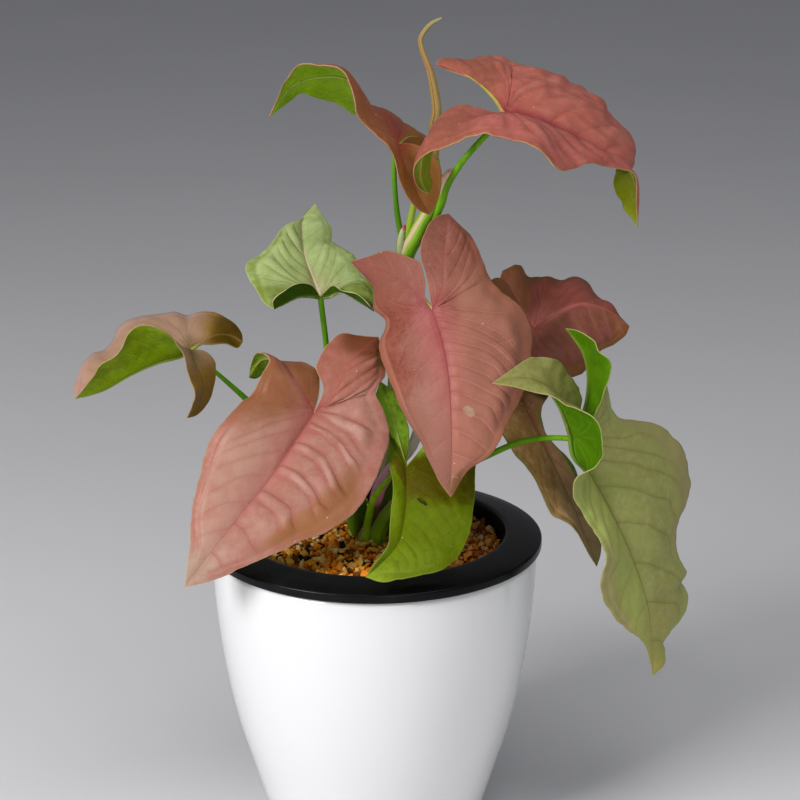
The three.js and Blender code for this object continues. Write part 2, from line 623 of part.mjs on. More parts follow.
// The granules fill the bowl. Their top is a relief of grains, larger than life, with a plain hole in
// which the crown stands.
function granules() {
  const bottom = LINER_FLOOR_Z + GAP;
  const depth = GRANULE_TOP - bottom;
  const across = 2 * MOUTH_RADIUS;
  const cells = Math.round(across / GRANULE_SIZE);
  const bed = new THREE.BoxGeometry(across, across, depth, cells, cells, 1);
  const grains = mergeVertices(bed.deleteAttribute("normal").deleteAttribute("uv"));
  const places = grains.getAttribute("position");
  const random = randomSource(7);
  for (let index = 0; index < places.count; index += 1) {
    if (places.getZ(index) > 0) {
      const shift = () => (random() - 0.5) * GRANULE_SIZE * GRANULE_SCATTER;
      places.setX(index, places.getX(index) + shift());
      places.setY(index, places.getY(index) + shift());
      places.setZ(index, places.getZ(index) + GRANULE_RELIEF * (2 * random() - 1));
    }
  }
  grains.translate(0, 0, bottom + depth / 2);

  const flare = (MOUTH_RADIUS - LINER_FLOOR_RADIUS) / (RIM_TOP - MOUTH_DEPTH - LINER_FLOOR_Z);
  const bowlProfile = [LINER_FLOOR_Z - 1, RIM_TOP].map((height) => {
    const wall = LINER_FLOOR_RADIUS + flare * (height - LINER_FLOOR_Z);
    return [wall - GRANULE_SLACK, height];
  });
  const bowl = turned([[0, LINER_FLOOR_Z - 1], ...bowlProfile, [0, RIM_TOP]], POT_SEGMENTS);

  const low = CROWN_BOTTOM - CROWN_CLEARANCE;
  const hole = bar(CROWN_CENTRE, CROWN_RADIUS + CROWN_CLEARANCE, low, RIM_TOP, CROWN_SIDES);
  return geometryFrom(solidOf(grains).intersect(solidOf(bowl)).subtract(solidOf(hole)));
}

// ---------------------------------------------------------------- plant
const arrowheadPlant = new THREE.Group();

const joints = {};
Object.entries(BLADES).forEach(([name, cage]) => {
  const form = BLADE_FORM[name];
  const sheet = bladeSheet(cage, form);
  const normals = sheetNormals(sheet);
  const place = vector(cage.joint);
  joints[name] = { place, up: normals[sheet.add(place)] };
  const blade = thickened(sheet, normals, BLADE_THICKNESS);
  arrowheadPlant.add(meshOf("leaf_" + name, blade, form.colour, 0.55));
});

// Where a stalk ends: just under its blade, with the whole end clear of it however it arrives.
function stalkEnd(path, { place, up }) {
  const [x, y, z, radius] = path[path.length - 1];
  const arriving = place.clone().sub(vector([x, y, z])).normalize();
  const slant = Math.sqrt(1 - arriving.dot(up) ** 2);
  const drop = BLADE_THICKNESS / 2 + JOINT_GAP + radius * slant;
  return [...place.clone().addScaledVector(up, -drop).toArray(), radius];
}

// The crown in the granules, the climbing stem and every stalk, grown together as one body.
function stems() {
  const crown = bar(CROWN_CENTRE, CROWN_RADIUS, CROWN_BOTTOM, CROWN_TOP, CROWN_SIDES);
  return Object.entries(STALKS).reduce((grown, [name, path]) => {
    const route = name === CLIMBING_STEM ? path : [...path, stalkEnd(path, joints[name])];
    return grown.add(solidOf(taperedTube(route, STALK_SIDES, STALK_STEP)));
  }, solidOf(crown));
}

// The rolled leaf starts just clear of the climbing stem's top.
function rolledLeaf() {
  const [x, y, z, radius] = STALKS[CLIMBING_STEM][STALKS[CLIMBING_STEM].length - 1];
  return taperedTube([[x, y, z + GAP, radius], ...ROLLED_LEAF], STALK_SIDES, ROLLED_LEAF_STEP);
}

arrowheadPlant.add(meshOf("stems", geometryFrom(stems()), COLOUR.stalk, 0.45));
arrowheadPlant.add(meshOf("rolled_new_leaf", rolledLeaf(), COLOUR.rolled, 0.5));
arrowheadPlant.add(meshOf("pot_shell", potShell(), COLOUR.shell, 0.2));
arrowheadPlant.add(meshOf("pot_liner", potLiner(), COLOUR.liner, 0.35));
arrowheadPlant.add(meshOf("granules", granules(), COLOUR.granules, 0.9));

export default arrowheadPlant;
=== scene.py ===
# %% [markdown]
# # A potted arrowhead plant
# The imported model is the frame: it says where every piece of the plant and its pot is, and how large it
# is. This lesson dresses that frame. Each piece of the model is replaced by a finer one that keeps its
# form and place, and each gets a finish of its own.
#
# The lengths of the plant and its pot are written in millimetres, because that is how a leaf or a pot is
# measured, and are turned into Blender's metres where a mesh is made.

# %% Load the frame
import math

import bmesh
import bpy
import numpy as np
from mathutils import Matrix, Vector, noise


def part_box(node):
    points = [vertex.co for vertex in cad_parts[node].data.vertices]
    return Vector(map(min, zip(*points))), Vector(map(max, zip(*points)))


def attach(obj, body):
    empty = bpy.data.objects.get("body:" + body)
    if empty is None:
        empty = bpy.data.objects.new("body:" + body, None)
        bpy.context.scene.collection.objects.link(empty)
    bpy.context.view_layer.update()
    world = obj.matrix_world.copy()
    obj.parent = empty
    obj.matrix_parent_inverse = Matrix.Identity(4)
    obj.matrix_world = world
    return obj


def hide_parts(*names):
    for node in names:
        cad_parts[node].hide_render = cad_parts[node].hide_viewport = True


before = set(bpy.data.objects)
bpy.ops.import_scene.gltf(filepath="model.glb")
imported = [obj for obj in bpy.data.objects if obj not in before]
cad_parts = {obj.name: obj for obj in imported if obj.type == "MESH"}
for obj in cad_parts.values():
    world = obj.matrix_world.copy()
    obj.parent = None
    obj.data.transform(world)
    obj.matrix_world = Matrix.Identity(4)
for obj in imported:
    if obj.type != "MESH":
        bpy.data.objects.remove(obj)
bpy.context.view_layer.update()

MM = 0.001
print("nodes:", ", ".join(sorted(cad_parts)))

# %% [markdown]
# ## Camera
# The plant is seen from a little above, so that the granules and the round of the rim show. A long lens
# a metre away keeps the far leaves almost as large as the near ones. The camera looks along +Y and is
# only tilted down.

# %% Camera
CAMERA_DISTANCE = 1000
CAMERA_PITCH = math.radians(17)
CAMERA_TARGET = Vector((11.4, 0, 197.8))
CAMERA_VIEW = math.radians(20.01)

camera = bpy.data.objects.new("camera", bpy.data.cameras.new("camera"))
bpy.context.scene.collection.objects.link(camera)
bpy.context.scene.camera = camera
camera.data.angle = CAMERA_VIEW
back = Vector((0, -math.cos(CAMERA_PITCH), math.sin(CAMERA_PITCH)))
camera.location = (CAMERA_TARGET + back * CAMERA_DISTANCE) * MM
camera.rotation_euler = (math.pi / 2 - CAMERA_PITCH, 0, 0)
print("lens, mm:", round(camera.data.lens, 1))

# %% [markdown]
# ## Materials as sums
# A material's nodes are easiest to read as a formula. `Wire` stands for a number or a colour that runs
# through the nodes, so that `0.5 * cloud + 0.1` adds the Math nodes by itself. `Finish` is one material:
# it has one method that adds any node, and a few short names for the nodes that are used most. The
# nodes work in metres, so a noise of scale 60 has clouds about 17 mm wide.

# %% Wire and Finish
class Wire:
    """A value on its way through the nodes of a finish."""

    def __init__(self, finish, socket):
        self.finish = finish
        self.socket = socket

    def math(self, operation, *values):
        inputs = dict(enumerate(values))
        return self.finish.node("ShaderNodeMath", {"operation": operation}, inputs)

    def __add__(self, other):
        return self.math("ADD", self, other)

    def __sub__(self, other):
        return self.math("SUBTRACT", self, other)

    def __rsub__(self, other):
        return self.math("SUBTRACT", other, self)

    def __mul__(self, other):
        return self.math("MULTIPLY", self, other)

    def __truediv__(self, other):
        return self.math("DIVIDE", self, other)

    def __abs__(self):
        return self.math("ABSOLUTE", self)

    __radd__ = __add__
    __rmul__ = __mul__


class Finish:
    """One material, made by adding nodes in front of its Principled shader."""

    def __init__(self, name, **constants):
        self.material = bpy.data.materials.new(name)
        self.material.use_nodes = True
        self.tree = self.material.node_tree
        self.shader = self.tree.nodes["Principled BSDF"]
        for socket, value in constants.items():
            self.shader.inputs[socket.replace("_", " ")].default_value = value

    def connect(self, socket, value):
        if isinstance(value, Wire):
            self.tree.links.new(value.socket, socket)
        else:
            socket.default_value = (*value, 1) if isinstance(value, tuple) and len(value) == 3 else value

    def node(self, kind, settings=None, inputs=None, output=0):
        node = self.tree.nodes.new(kind)
        for name, value in (settings or {}).items():
            if name == "stops":
                self.set_stops(node.color_ramp, value)
            elif name == "steps":
                self.set_stops(node.color_ramp, value)
                node.color_ramp.interpolation = "CONSTANT"
            else:
                setattr(node, name, value)
        for socket, value in (inputs or {}).items():
            self.connect(node.inputs[socket], value)
        return Wire(self, node.outputs[output])

    def set_stops(self, ramp, stops):
        while len(ramp.elements) < len(stops):
            ramp.elements.new(1)
        for element, (place, colour) in zip(ramp.elements, stops):
            element.position = place
            element.color = (*colour, 1)

    def place(self):
        return self.node("ShaderNodeTexCoord", output="Object")

    def attribute(self, name):
        return self.node("ShaderNodeAttribute", {"attribute_name": name}, output="Fac")

    def noise(self, scale, detail=2, stretch=(1, 1, 1)):
        place = self.node("ShaderNodeMapping", None, {"Vector": self.place(), "Scale": Vector(stretch)})
        return self.node("ShaderNodeTexNoise", None, {"Vector": place, "Scale": scale, "Detail": detail})

    def cells(self, scale, feature="F1", output="Distance"):
        inputs = {"Vector": self.place(), "Scale": scale}
        return self.node("ShaderNodeTexVoronoi", {"feature": feature}, inputs, output)

    def mix(self, first, second, share):
        inputs = {0: share, 6: first, 7: second}
        return self.node("ShaderNodeMix", {"data_type": "RGBA"}, inputs, output=2)

    def step(self, value, low, high):
        """A soft step: 0 where the value is at low, 1 where it is at high."""
        inputs = {0: value, 1: low, 2: high, 3: 0.0, 4: 1.0}
        return self.node("ShaderNodeMapRange", {"interpolation_type": "SMOOTHSTEP"}, inputs)

    def bump(self, height, distance, strength=1.0):
        inputs = {"Height": height, "Distance": distance, "Strength": strength}
        return self.node("ShaderNodeBump", None, inputs)

    def set(self, **sockets):
        for socket, value in sockets.items():
            self.connect(self.shader.inputs[socket.replace("_", " ")], value)
        return self.material


print("sockets of the shader:", len(Finish("sample").shader.inputs))
bpy.data.materials.remove(bpy.data.materials["sample"])

# %% [markdown]
# ## Floor and light
# The plant stands on a plain pale floor. The light is that of a studio with a strong soft box on the
# left and two weaker ones, in front and above, so the white pot has a bright left side and a shaded
# right one. The floor and the lights are written in metres and the lights' power in watts.

# %% Floor
FLOOR_HALF_WIDTH = 9.0

floor_mesh = bmesh.new()
bmesh.ops.create_grid(floor_mesh, x_segments=1, y_segments=1, size=FLOOR_HALF_WIDTH)
floor = bpy.data.objects.new("floor", bpy.data.meshes.new("floor"))
floor_mesh.to_mesh(floor.data)
floor_mesh.free()
bpy.context.scene.collection.objects.link(floor)
floor_finish = Finish("floor_paint", Roughness=0.7)
floor_tone = floor_finish.mix((0.68, 0.68, 0.70), (0.74, 0.74, 0.76), floor_finish.noise(3, 4))
floor.data.materials.append(floor_finish.set(Base_Color=floor_tone))
print("floor half width, m:", FLOOR_HALF_WIDTH)


# %% Lights
MIDDLE_OF_PLANT = Vector((0, 0, 0.18))
NEARLY_WHITE = (1.0, 0.99, 0.98)
SURROUND_TONE = (0.84, 0.85, 0.9, 1)
SURROUND_STRENGTH = 0.19


def soft_box(name, place, size, power, tint):
    """A large square light that faces the middle of the plant."""
    light = bpy.data.lights.new(name, "AREA")
    light.size = size
    light.energy = power
    light.color = tint
    box = bpy.data.objects.new(name, light)
    box.location = place
    aim = MIDDLE_OF_PLANT - Vector(place)
    box.rotation_euler = aim.to_track_quat("-Z", "Y").to_euler()
    bpy.context.scene.collection.objects.link(box)


soft_box("left_window", (-0.98, -0.86, 0.94), 0.6, 18.6, NEARLY_WHITE)
soft_box("front_fill", (0.35, -1.5, 0.50), 0.7, 3.6, NEARLY_WHITE)
soft_box("top_soft", (0.25, -0.40, 1.4), 0.8, 6.0, (1.0, 1.0, 1.0))

world = bpy.data.worlds.new("studio")
bpy.context.scene.world = world
world.use_nodes = True
world.node_tree.nodes["Background"].inputs["Color"].default_value = SURROUND_TONE
world.node_tree.nodes["Background"].inputs["Strength"].default_value = SURROUND_STRENGTH
bpy.context.scene.view_settings.view_transform = "Standard"
print("lights:", [thing.name for thing in bpy.data.lights])

# %% [markdown]
# ## Smooth lines through a few points
# Leaves and stalks are drawn as a cage: a few points along each midrib, margin and stalk. A centripetal
# Catmull-Rom curve runs through all of them without overshooting. `Line` works it out once, as many
# short chords, and then answers where any share of its length is.

# %% Line
class Line:
    """A smooth curve through points, measured along its own length."""

    STEPS = 24  # chords from one point to the next

    def __init__(self, points):
        points = np.array(points, float)
        before = 2 * points[0] - points[1]
        after = 2 * points[-1] - points[-2]
        padded = np.vstack([before, points, after])
        parts = [self.span(*padded[i : i + 4]) for i in range(len(points) - 1)]
        self.chords = np.vstack([*parts, points[-1:]])
        steps = np.linalg.norm(np.diff(self.chords[:, :3], axis=0), axis=1)
        self.lengths = np.concatenate([[0], np.cumsum(steps)])
        self.total = self.lengths[-1]

    def span(self, a, b, c, d):
        gaps = [max(np.linalg.norm(q[:3] - p[:3]) ** 0.5, 1e-4) for p, q in ((a, b), (b, c), (c, d))]
        leaving = (b - a) / gaps[0] - (c - a) / (gaps[0] + gaps[1]) + (c - b) / gaps[1]
        arriving = (c - b) / gaps[1] - (d - b) / (gaps[1] + gaps[2]) + (d - c) / gaps[2]
        t = np.linspace(0, 1, self.STEPS, endpoint=False)[:, None]
        cubic = (2 * t**3 - 3 * t**2 + 1) * b + (3 * t**2 - 2 * t**3) * c
        return cubic + gaps[1] * ((t**3 - 2 * t**2 + t) * leaving + (t**3 - t**2) * arriving)

    def at(self, shares):
        wanted = np.clip(shares, 0, 1) * self.total
        return np.stack([np.interp(wanted, self.lengths, axis) for axis in self.chords.T], -1)

    def share_of(self, index):
        """How far along the line its own point number index is."""
        return self.lengths[index * self.STEPS] / self.total


print("a quarter turn of 3 points is", round(Line([(1, 0, 0), (0.7, 0.7, 0), (0, 1, 0)]).total, 3), "long")

# %% [markdown]
# ## Grids that are laid over a shape
# A blade, a stalk or a sheath is a grid of faces whose corners are moved to where a formula wants them.
# Blender's grid operator makes the faces, `lay_grid` moves the corners, and each corner also carries a
# few numbers, such as how far it is from the midrib, which the finishes read later.

# %% lay_grid and finish_piece
def lay_grid(bm, points, numbers, turned=False):
    """Adds a grid with one corner at each of points[row, column], in mm. numbers holds an array of the
    same rows and columns for each name."""
    rows, columns = points.shape[0] - 1, points.shape[1] - 1
    layers = {name: layer_of(bm, name) for name in numbers}
    grid = bmesh.ops.create_grid(bm, x_segments=columns, y_segments=rows, size=0.5)
    for corner in grid["verts"]:
        column = round((corner.co.x + 0.5) * columns)
        row = round((corner.co.y + 0.5) * rows)
        corner.co = points[row, column] * MM
        for name, layer in layers.items():
            corner[layer] = float(numbers[name][row, column])
    if turned:
        faces = {face for corner in grid["verts"] for face in corner.link_faces}
        bmesh.ops.reverse_faces(bm, faces=sorted(faces, key=lambda face: face.index))


def layer_of(bm, name):
    return bm.verts.layers.float.get(name) or bm.verts.layers.float.new(name)


def unit(vectors):
    """The same directions with a length of one. No length stays none."""
    lengths = np.linalg.norm(vectors, axis=-1, keepdims=True)
    return vectors / np.maximum(lengths, 1e-9)


def finish_piece(bm, name, node, slot, materials, merge=0.002):
    """Closes the seams, makes the object and ties it to the frame."""
    bmesh.ops.remove_doubles(bm, verts=bm.verts, dist=merge * MM)
    mesh = bpy.data.meshes.new(name)
    bm.to_mesh(mesh)
    bm.free()
    for polygon in mesh.polygons:
        polygon.use_smooth = True
    for material in materials:
        mesh.materials.append(material)
    piece = bpy.data.objects.new(name, mesh)
    bpy.context.scene.collection.objects.link(piece)
    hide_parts(node)
    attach(piece, "root")
    print(name, "has", len(mesh.polygons), "faces")
    return piece


# %% [markdown]
# ## The blades' cages
# An arrowhead leaf has a midrib from the joint, where its stalk ends, to its tip, and two lobes that
# point back. In each half a rib runs from the joint to the point of the lobe, `inner` is the lobe's edge
# back to the joint, and `margin` is the outer edge from the lobe's point to the tip. `waist` is the
# point of the margin that is level with the joint. Left and right are as seen from above, with the tip
# pointing away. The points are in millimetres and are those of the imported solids.

# %% Cages of the ten blades
BLADES = {
    "front_left": {
      "joint": [-26, -14, 196],
      "midrib": [[-35, -25, 185], [-46, -38, 172], [-56, -48, 162], [-68, -58, 149], [-80, -60, 133]],
      "left": {
        "lobe": [2, 2, 226],
        "rib": [[-19, -15, 203], [-13, -10, 214], [-6, -4, 221]],
        "inner": [[-7, 4, 226], [-15, 4, 227], [-22, -2, 221], [-25, -8, 215], [-22, -13, 207]],
        "margin": [[4, -3, 217], [5, -9, 212], [1, -15, 206], [4, -20, 199], [7, -24, 191],
          [5, -33, 183], [-1, -44, 173], [-8, -52, 164], [-18, -58, 158], [-29, -60, 155],
          [-40, -62, 150], [-52, -64, 145], [-67, -64, 138]],
        "waist": 2,
      },
      "right": {
        "lobe": [-56, 14, 204],
        "rib": [[-29, -13, 202], [-35, -10, 211], [-41, 0, 215], [-50, 12, 213]],
        "inner": [[-53, 16, 203], [-46, 16, 208], [-37, 10, 212], [-30, 3, 214], [-25, -2, 212],
          [-24, -9, 204]],
        "margin": [[-55, 13, 210], [-52, 8, 217], [-47, 0, 219], [-45, -7, 218], [-48, -12, 214],
          [-52, -16, 206], [-57, -20, 203], [-64, -26, 197], [-71, -32, 187], [-74, -40, 176],
          [-77, -48, 164], [-78, -55, 150], [-79, -59, 140]],
        "waist": 6,
      },
    },
    "centre": {
      "joint": [25, -24, 245],
      "midrib": [[29, -30, 234], [32, -39, 219], [33, -47, 199], [33, -50, 182], [33, -50, 170]],
      "left": {
        "lobe": [32, -6, 283],
        "rib": [[29, -20, 253], [30, -14, 264], [31, -9, 274]],
        "inner": [[27, -7, 282], [23, -9, 278], [20, -12, 268], [23, -17, 256]],
        "margin": [[37, -6, 278], [42, -7, 273], [46, -10, 264], [50, -13, 256], [55, -15, 251],
          [63, -15, 244], [68, -17, 234], [68, -22, 226], [65, -31, 214], [58, -41, 202],
          [49, -48, 188], [40, -50, 182]],
        "waist": 3,
      },
      "right": {
        "lobe": [-10, 6, 259],
        "rib": [[20, -20, 250], [12, -12, 255], [2, -3, 258]],
        "inner": [[-2, 3, 262], [6, -3, 266], [14, -9, 265], [20, -13, 263], [22, -18, 256],
          [22, -21, 250]],
        "margin": [[-6, 4, 255], [-2, 1, 250], [0, -7, 241], [4, -11, 237], [2, -17, 228],
          [5, -24, 218], [12, -35, 204], [19, -43, 193], [24, -48, 185], [28, -50, 177]],
        "waist": 3,
      },
    },
    "top_right": {
      "joint": [56, -8, 326],
      "midrib": [[65, -10, 325], [79, -12, 320], [97, -11, 311], [108, -7, 304], [113, -4, 293],
        [113, -6, 277]],
      "left": {
        "lobe": [27, 34, 341],
        "rib": [[52, 4, 331], [45, 16, 336], [37, 27, 339]],
        "inner": [[31, 32, 339], [40, 23, 337], [49, 14, 335], [52, 4, 331]],
        "margin": [[30, 36, 343], [37, 40, 342], [47, 45, 343], [61, 50, 340], [78, 48, 335],
          [92, 43, 330], [100, 38, 325], [102, 33, 320], [108, 28, 314], [114, 23, 308],
          [113, 19, 301], [105, 16, 297], [108, 6, 285]],
        "waist": 3,
      },
      "right": {
        "lobe": [23, -23, 295],
        "rib": [[47, -15, 326], [34, -23, 325], [23, -29, 321], [20, -28, 310], [20, -25, 301]],
        "inner": [[25, -19, 298], [24, -19, 304], [25, -18, 314], [25, -15, 322], [31, -11, 327],
          [39, -7, 330], [49, -6, 327]],
        "margin": [[19, -28, 299], [17, -33, 306], [19, -37, 312], [23, -40, 316], [32, -43, 319],
          [47, -45, 325], [54, -46, 324], [64, -47, 320], [76, -46, 311], [90, -30, 309],
          [102, -19, 306], [110, -13, 301], [112, -9, 290]],
        "waist": 6,
      },
    },
    "top_left": {
      "joint": [10, -2, 312],
      "midrib": [[5, 2, 320], [-3, 5, 330], [-11, 6, 339], [-22, 6, 340], [-34, 2, 337], [-44, -3, 324]],
      "left": {
        "lobe": [24, -14, 284],
        "rib": [[12, -8, 308], [16, -14, 299], [20, -15, 291]],
        "inner": [[27, -12, 289], [29, -11, 297], [28, -9, 305], [22, -8, 311], [15, -4, 313]],
        "margin": [[19, -17, 287], [14, -20, 294], [11, -23, 304], [8, -24, 313], [1, -24, 320],
          [-4, -24, 326], [-8, -24, 337], [-13, -21, 347], [-20, -18, 349], [-29, -13, 348],
          [-37, -8, 339]],
        "waist": 3,
      },
      "right": {
        "lobe": [28, 26, 304],
        "rib": [[15, 8, 314], [22, 18, 311]],
        "inner": [[27, 22, 300], [21, 12, 304], [14, 3, 309]],
        "margin": [[25, 31, 308], [18, 35, 311], [11, 38, 316], [3, 39, 321], [-4, 37, 321],
          [-10, 33, 320], [-18, 28, 325], [-24, 22, 329], [-31, 14, 331], [-38, 4, 328]],
        "waist": 2,
      },
    },
    "back_left": {
      "joint": [-24, 22, 239],
      "midrib": [[-27, 27, 245], [-31, 37, 253], [-33, 50, 260], [-33, 62, 266], [-28, 74, 270]],
      "left": {
        "lobe": [-44, 8, 237],
        "rib": [[-27, 20, 240], [-33, 15, 241], [-39, 11, 239]],
        "inner": [[-44, 5, 242], [-39, 7, 246], [-34, 10, 248], [-28, 16, 246]],
        "margin": [[-48, 10, 239], [-53, 17, 245], [-57, 23, 249], [-56, 30, 254], [-50, 36, 256],
          [-44, 44, 262], [-41, 50, 265], [-34, 60, 266]],
        "waist": 2,
      },
      "right": {
        "lobe": [0, 8, 236],
        "rib": [[-20, 20, 240], [-15, 15, 243], [-7, 11, 240]],
        "inner": [[-2, 4, 240], [-7, 7, 244], [-14, 10, 245], [-18, 15, 246]],
        "margin": [[1, 12, 241], [-1, 19, 246], [-6, 25, 248], [-9, 32, 255], [-17, 40, 258],
          [-20, 46, 259], [-20, 54, 263], [-23, 62, 266]],
        "waist": 2,
      },
    },
    "far_left": {
      "joint": [-81, 4, 220],
      "midrib": [[-85, 2, 218], [-95, -2, 216], [-107, -5, 211], [-118, -8, 205], [-130, -12, 202]],
      "left": {
        "lobe": [-82, -8, 192],
        "rib": [[-78, 0, 214], [-75, -3, 207], [-77, -5, 198]],
        "inner": [[-78, -3, 192], [-73, 1, 197], [-70, 4, 207], [-71, 6, 215], [-75, 5, 219]],
        "margin": [[-79, -13, 200], [-77, -16, 207], [-80, -16, 215], [-83, -16, 224], [-86, -18, 232],
          [-90, -21, 236], [-96, -24, 238], [-103, -26, 236], [-110, -26, 227], [-116, -25, 222],
          [-121, -22, 214], [-126, -18, 208]],
        "waist": 3,
      },
      "right": {
        "lobe": [-59, 22, 218],
        "rib": [[-76, 9, 222], [-70, 17, 223], [-64, 22, 221]],
        "inner": [[-61, 20, 216], [-66, 16, 219], [-72, 11, 220], [-77, 7, 221]],
        "margin": [[-60, 27, 221], [-65, 33, 225], [-73, 38, 228], [-80, 40, 227], [-85, 40, 225],
          [-91, 42, 227], [-99, 40, 227], [-107, 36, 226], [-115, 29, 223], [-120, 20, 216],
          [-126, 12, 215], [-130, 2, 210], [-131, -7, 205]],
        "waist": 4,
      },
    },
    "low_front": {
      "joint": [14, -32, 177],
      "midrib": [[14, -42, 170], [13, -53, 161], [10, -63, 153], [-3, -76, 144]],
      "left": {
        "lobe": [34, -4, 197],
        "rib": [[20, -25, 182], [27, -14, 189]],
        "inner": [[29, -5, 195], [24, -12, 186], [21, -21, 180], [17, -27, 178]],
        "margin": [[41, -12, 194], [44, -21, 185], [44, -29, 176], [43, -41, 166], [42, -50, 160],
          [39, -58, 152], [34, -66, 147], [28, -71, 145], [21, -74, 144], [11, -78, 144],
          [4, -79, 143]],
        "waist": 2,
      },
      "right": {
        "lobe": [3, -6, 208],
        "rib": [[11, -24, 185], [8, -15, 196]],
        "inner": [[8, -7, 204], [12, -10, 197], [15, -16, 190], [15, -23, 183]],
        "margin": [[1, -8, 202], [3, -11, 196], [6, -15, 190], [7, -21, 185], [7, -29, 181],
          [8, -41, 174], [8, -50, 167], [7, -60, 159], [6, -66, 154], [1, -73, 149]],
        "waist": 3,
      },
    },
    "right_drooping": {
      "joint": [85, -33, 191],
      "midrib": [[87, -31, 182], [94, -28, 172], [105, -30, 152], [113, -30, 134], [120, -28, 113],
        [123, -24, 94], [125, -18, 74]],
      "left": {
        "lobe": [82, -24, 237],
        "rib": [[89, -28, 196], [92, -25, 205], [92, -25, 218], [89, -25, 228]],
        "inner": [[87, -28, 237], [93, -33, 234], [95, -36, 230], [100, -39, 226], [100, -41, 220],
          [98, -41, 213], [94, -39, 204], [90, -36, 196]],
        "margin": [[88, -19, 232], [94, -13, 223], [99, -9, 212], [103, -8, 202], [107, -8, 193],
          [115, -5, 190], [124, -1, 187], [132, 2, 180], [138, 4, 172], [142, 6, 159], [140, 3, 148],
          [135, -2, 142], [134, -6, 135], [136, -7, 127], [141, -5, 118], [138, -6, 114],
          [141, -4, 108], [140, -5, 100], [135, -8, 93], [130, -13, 88], [131, -14, 84],
          [130, -16, 78]],
        "waist": 4,
      },
      "right": {
        "lobe": [50, -46, 219],
        "rib": [[82, -36, 200], [78, -39, 209], [71, -42, 218], [61, -44, 221]],
        "inner": [[57, -42, 223], [68, -36, 228], [78, -32, 225], [84, -29, 218], [88, -27, 212],
          [90, -26, 204], [88, -29, 196]],
        "margin": [[58, -47, 218], [67, -48, 216], [75, -49, 215], [81, -50, 212], [88, -51, 208],
          [94, -52, 203], [97, -51, 195], [97, -49, 187], [93, -48, 182], [87, -46, 178],
          [85, -45, 173], [86, -44, 167], [92, -44, 158], [98, -45, 147], [100, -45, 140],
          [98, -45, 130], [100, -42, 119], [109, -35, 105], [119, -28, 94], [123, -22, 83]],
        "waist": 6,
      },
    },
    "back_right": {
      "joint": [71, 20, 225],
      "midrib": [[80, 20, 231], [92, 21, 236], [103, 23, 233], [114, 24, 225]],
      "left": {
        "lobe": [57, 26, 250],
        "rib": [[68, 21, 231], [62, 24, 241]],
        "inner": [[56, 24, 246], [60, 21, 237], [66, 19, 229]],
        "margin": [[64, 32, 251], [70, 36, 245], [77, 40, 244], [84, 43, 242], [91, 46, 242],
          [97, 46, 239], [102, 42, 233], [107, 36, 231], [111, 29, 227]],
        "waist": 2,
      },
      "right": {
        "lobe": [45, 0, 242],
        "rib": [[64, 14, 231], [55, 6, 238]],
        "inner": [[48, 4, 249], [55, 8, 251], [62, 13, 241]],
        "margin": [[50, -3, 233], [58, -5, 221], [70, -5, 213], [82, -3, 209], [91, 3, 209],
          [96, 8, 212], [101, 14, 217], [107, 19, 218], [112, 22, 221]],
        "waist": 2,
      },
    },
    "low_right": {
      "joint": [65, 4, 198],
      "midrib": [[71, 0, 186], [80, -5, 168], [90, -9, 147], [99, -12, 124]],
      "left": {
        "lobe": [76, 10, 206],
        "rib": [[71, 7, 202]],
        "inner": [[71, 12, 206], [66, 8, 202]],
        "margin": [[78, 8, 199], [74, 5, 192], [76, 4, 182], [82, 6, 174], [88, 6, 166], [93, 5, 157],
          [98, 3, 146], [101, -2, 137], [101, -8, 129]],
        "waist": 1,
      },
      "right": {
        "lobe": [50, -6, 203],
        "rib": [[58, -1, 201]],
        "inner": [[54, 0, 205], [60, 4, 202]],
        "margin": [[52, -10, 194], [56, -14, 186], [62, -17, 178], [68, -19, 172], [74, -21, 159],
          [79, -22, 152], [85, -21, 148], [91, -19, 139], [96, -16, 130]],
        "waist": 1,
      },
    },
}

# %% [markdown]
# ## How each blade is formed
# `puff` is how far a half arches between midrib and margin, as a share of its width. `wave` and
# `ripples` are the height and number of the waves along the margin. `rows` says how many bands of faces
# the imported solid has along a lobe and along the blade. The lesson's sheets have the same bands, each
# cut finer.

# %% Forms of the blades
FORMS = {
    "front_left": {"puff": 0.09, "wave": 0.9, "ripples": 5, "rows": (6, 13)},
    "centre": {"puff": 0.08, "wave": 0.7, "ripples": 5, "rows": (6, 12)},
    "top_right": {"puff": 0.08, "wave": 1.0, "ripples": 5, "rows": (7, 13)},
    "top_left": {"puff": 0.05, "wave": 0.7, "ripples": 4, "rows": (5, 12)},
    "back_left": {"puff": 0.08, "wave": 0.8, "ripples": 4, "rows": (5, 10)},
    "far_left": {"puff": 0.04, "wave": 0.8, "ripples": 4, "rows": (6, 12)},
    "low_front": {"puff": 0.07, "wave": 0.7, "ripples": 4, "rows": (5, 11)},
    "right_drooping": {"puff": 0.07, "wave": 0.8, "ripples": 5, "rows": (9, 18)},
    "back_right": {"puff": 0.08, "wave": 0.7, "ripples": 4, "rows": (5, 10)},
    "low_right": {"puff": 0.07, "wave": 0.7, "ripples": 4, "rows": (4, 10)},
}
HALVES = {"left": -1, "right": 1}  # the sign turns a half's normal to its upper side
print("bands along the longest blade:", max(sum(form["rows"]) for form in FORMS.values()))

# %% [markdown]
# ## Veins and the quilted relief
# Side veins leave the midrib almost square and curve towards the tip, and round the joint a few more
# spread like a fan. Between them the blade is puffed up like a quilt, and each vein lies in a groove.
# Near the margin one collecting vein runs along the edge and the quilting ends there. `vein_number`
# counts veins along the blade: it is a whole number on each vein, so a finish can draw the veins and
# the relief can be a wave of it.

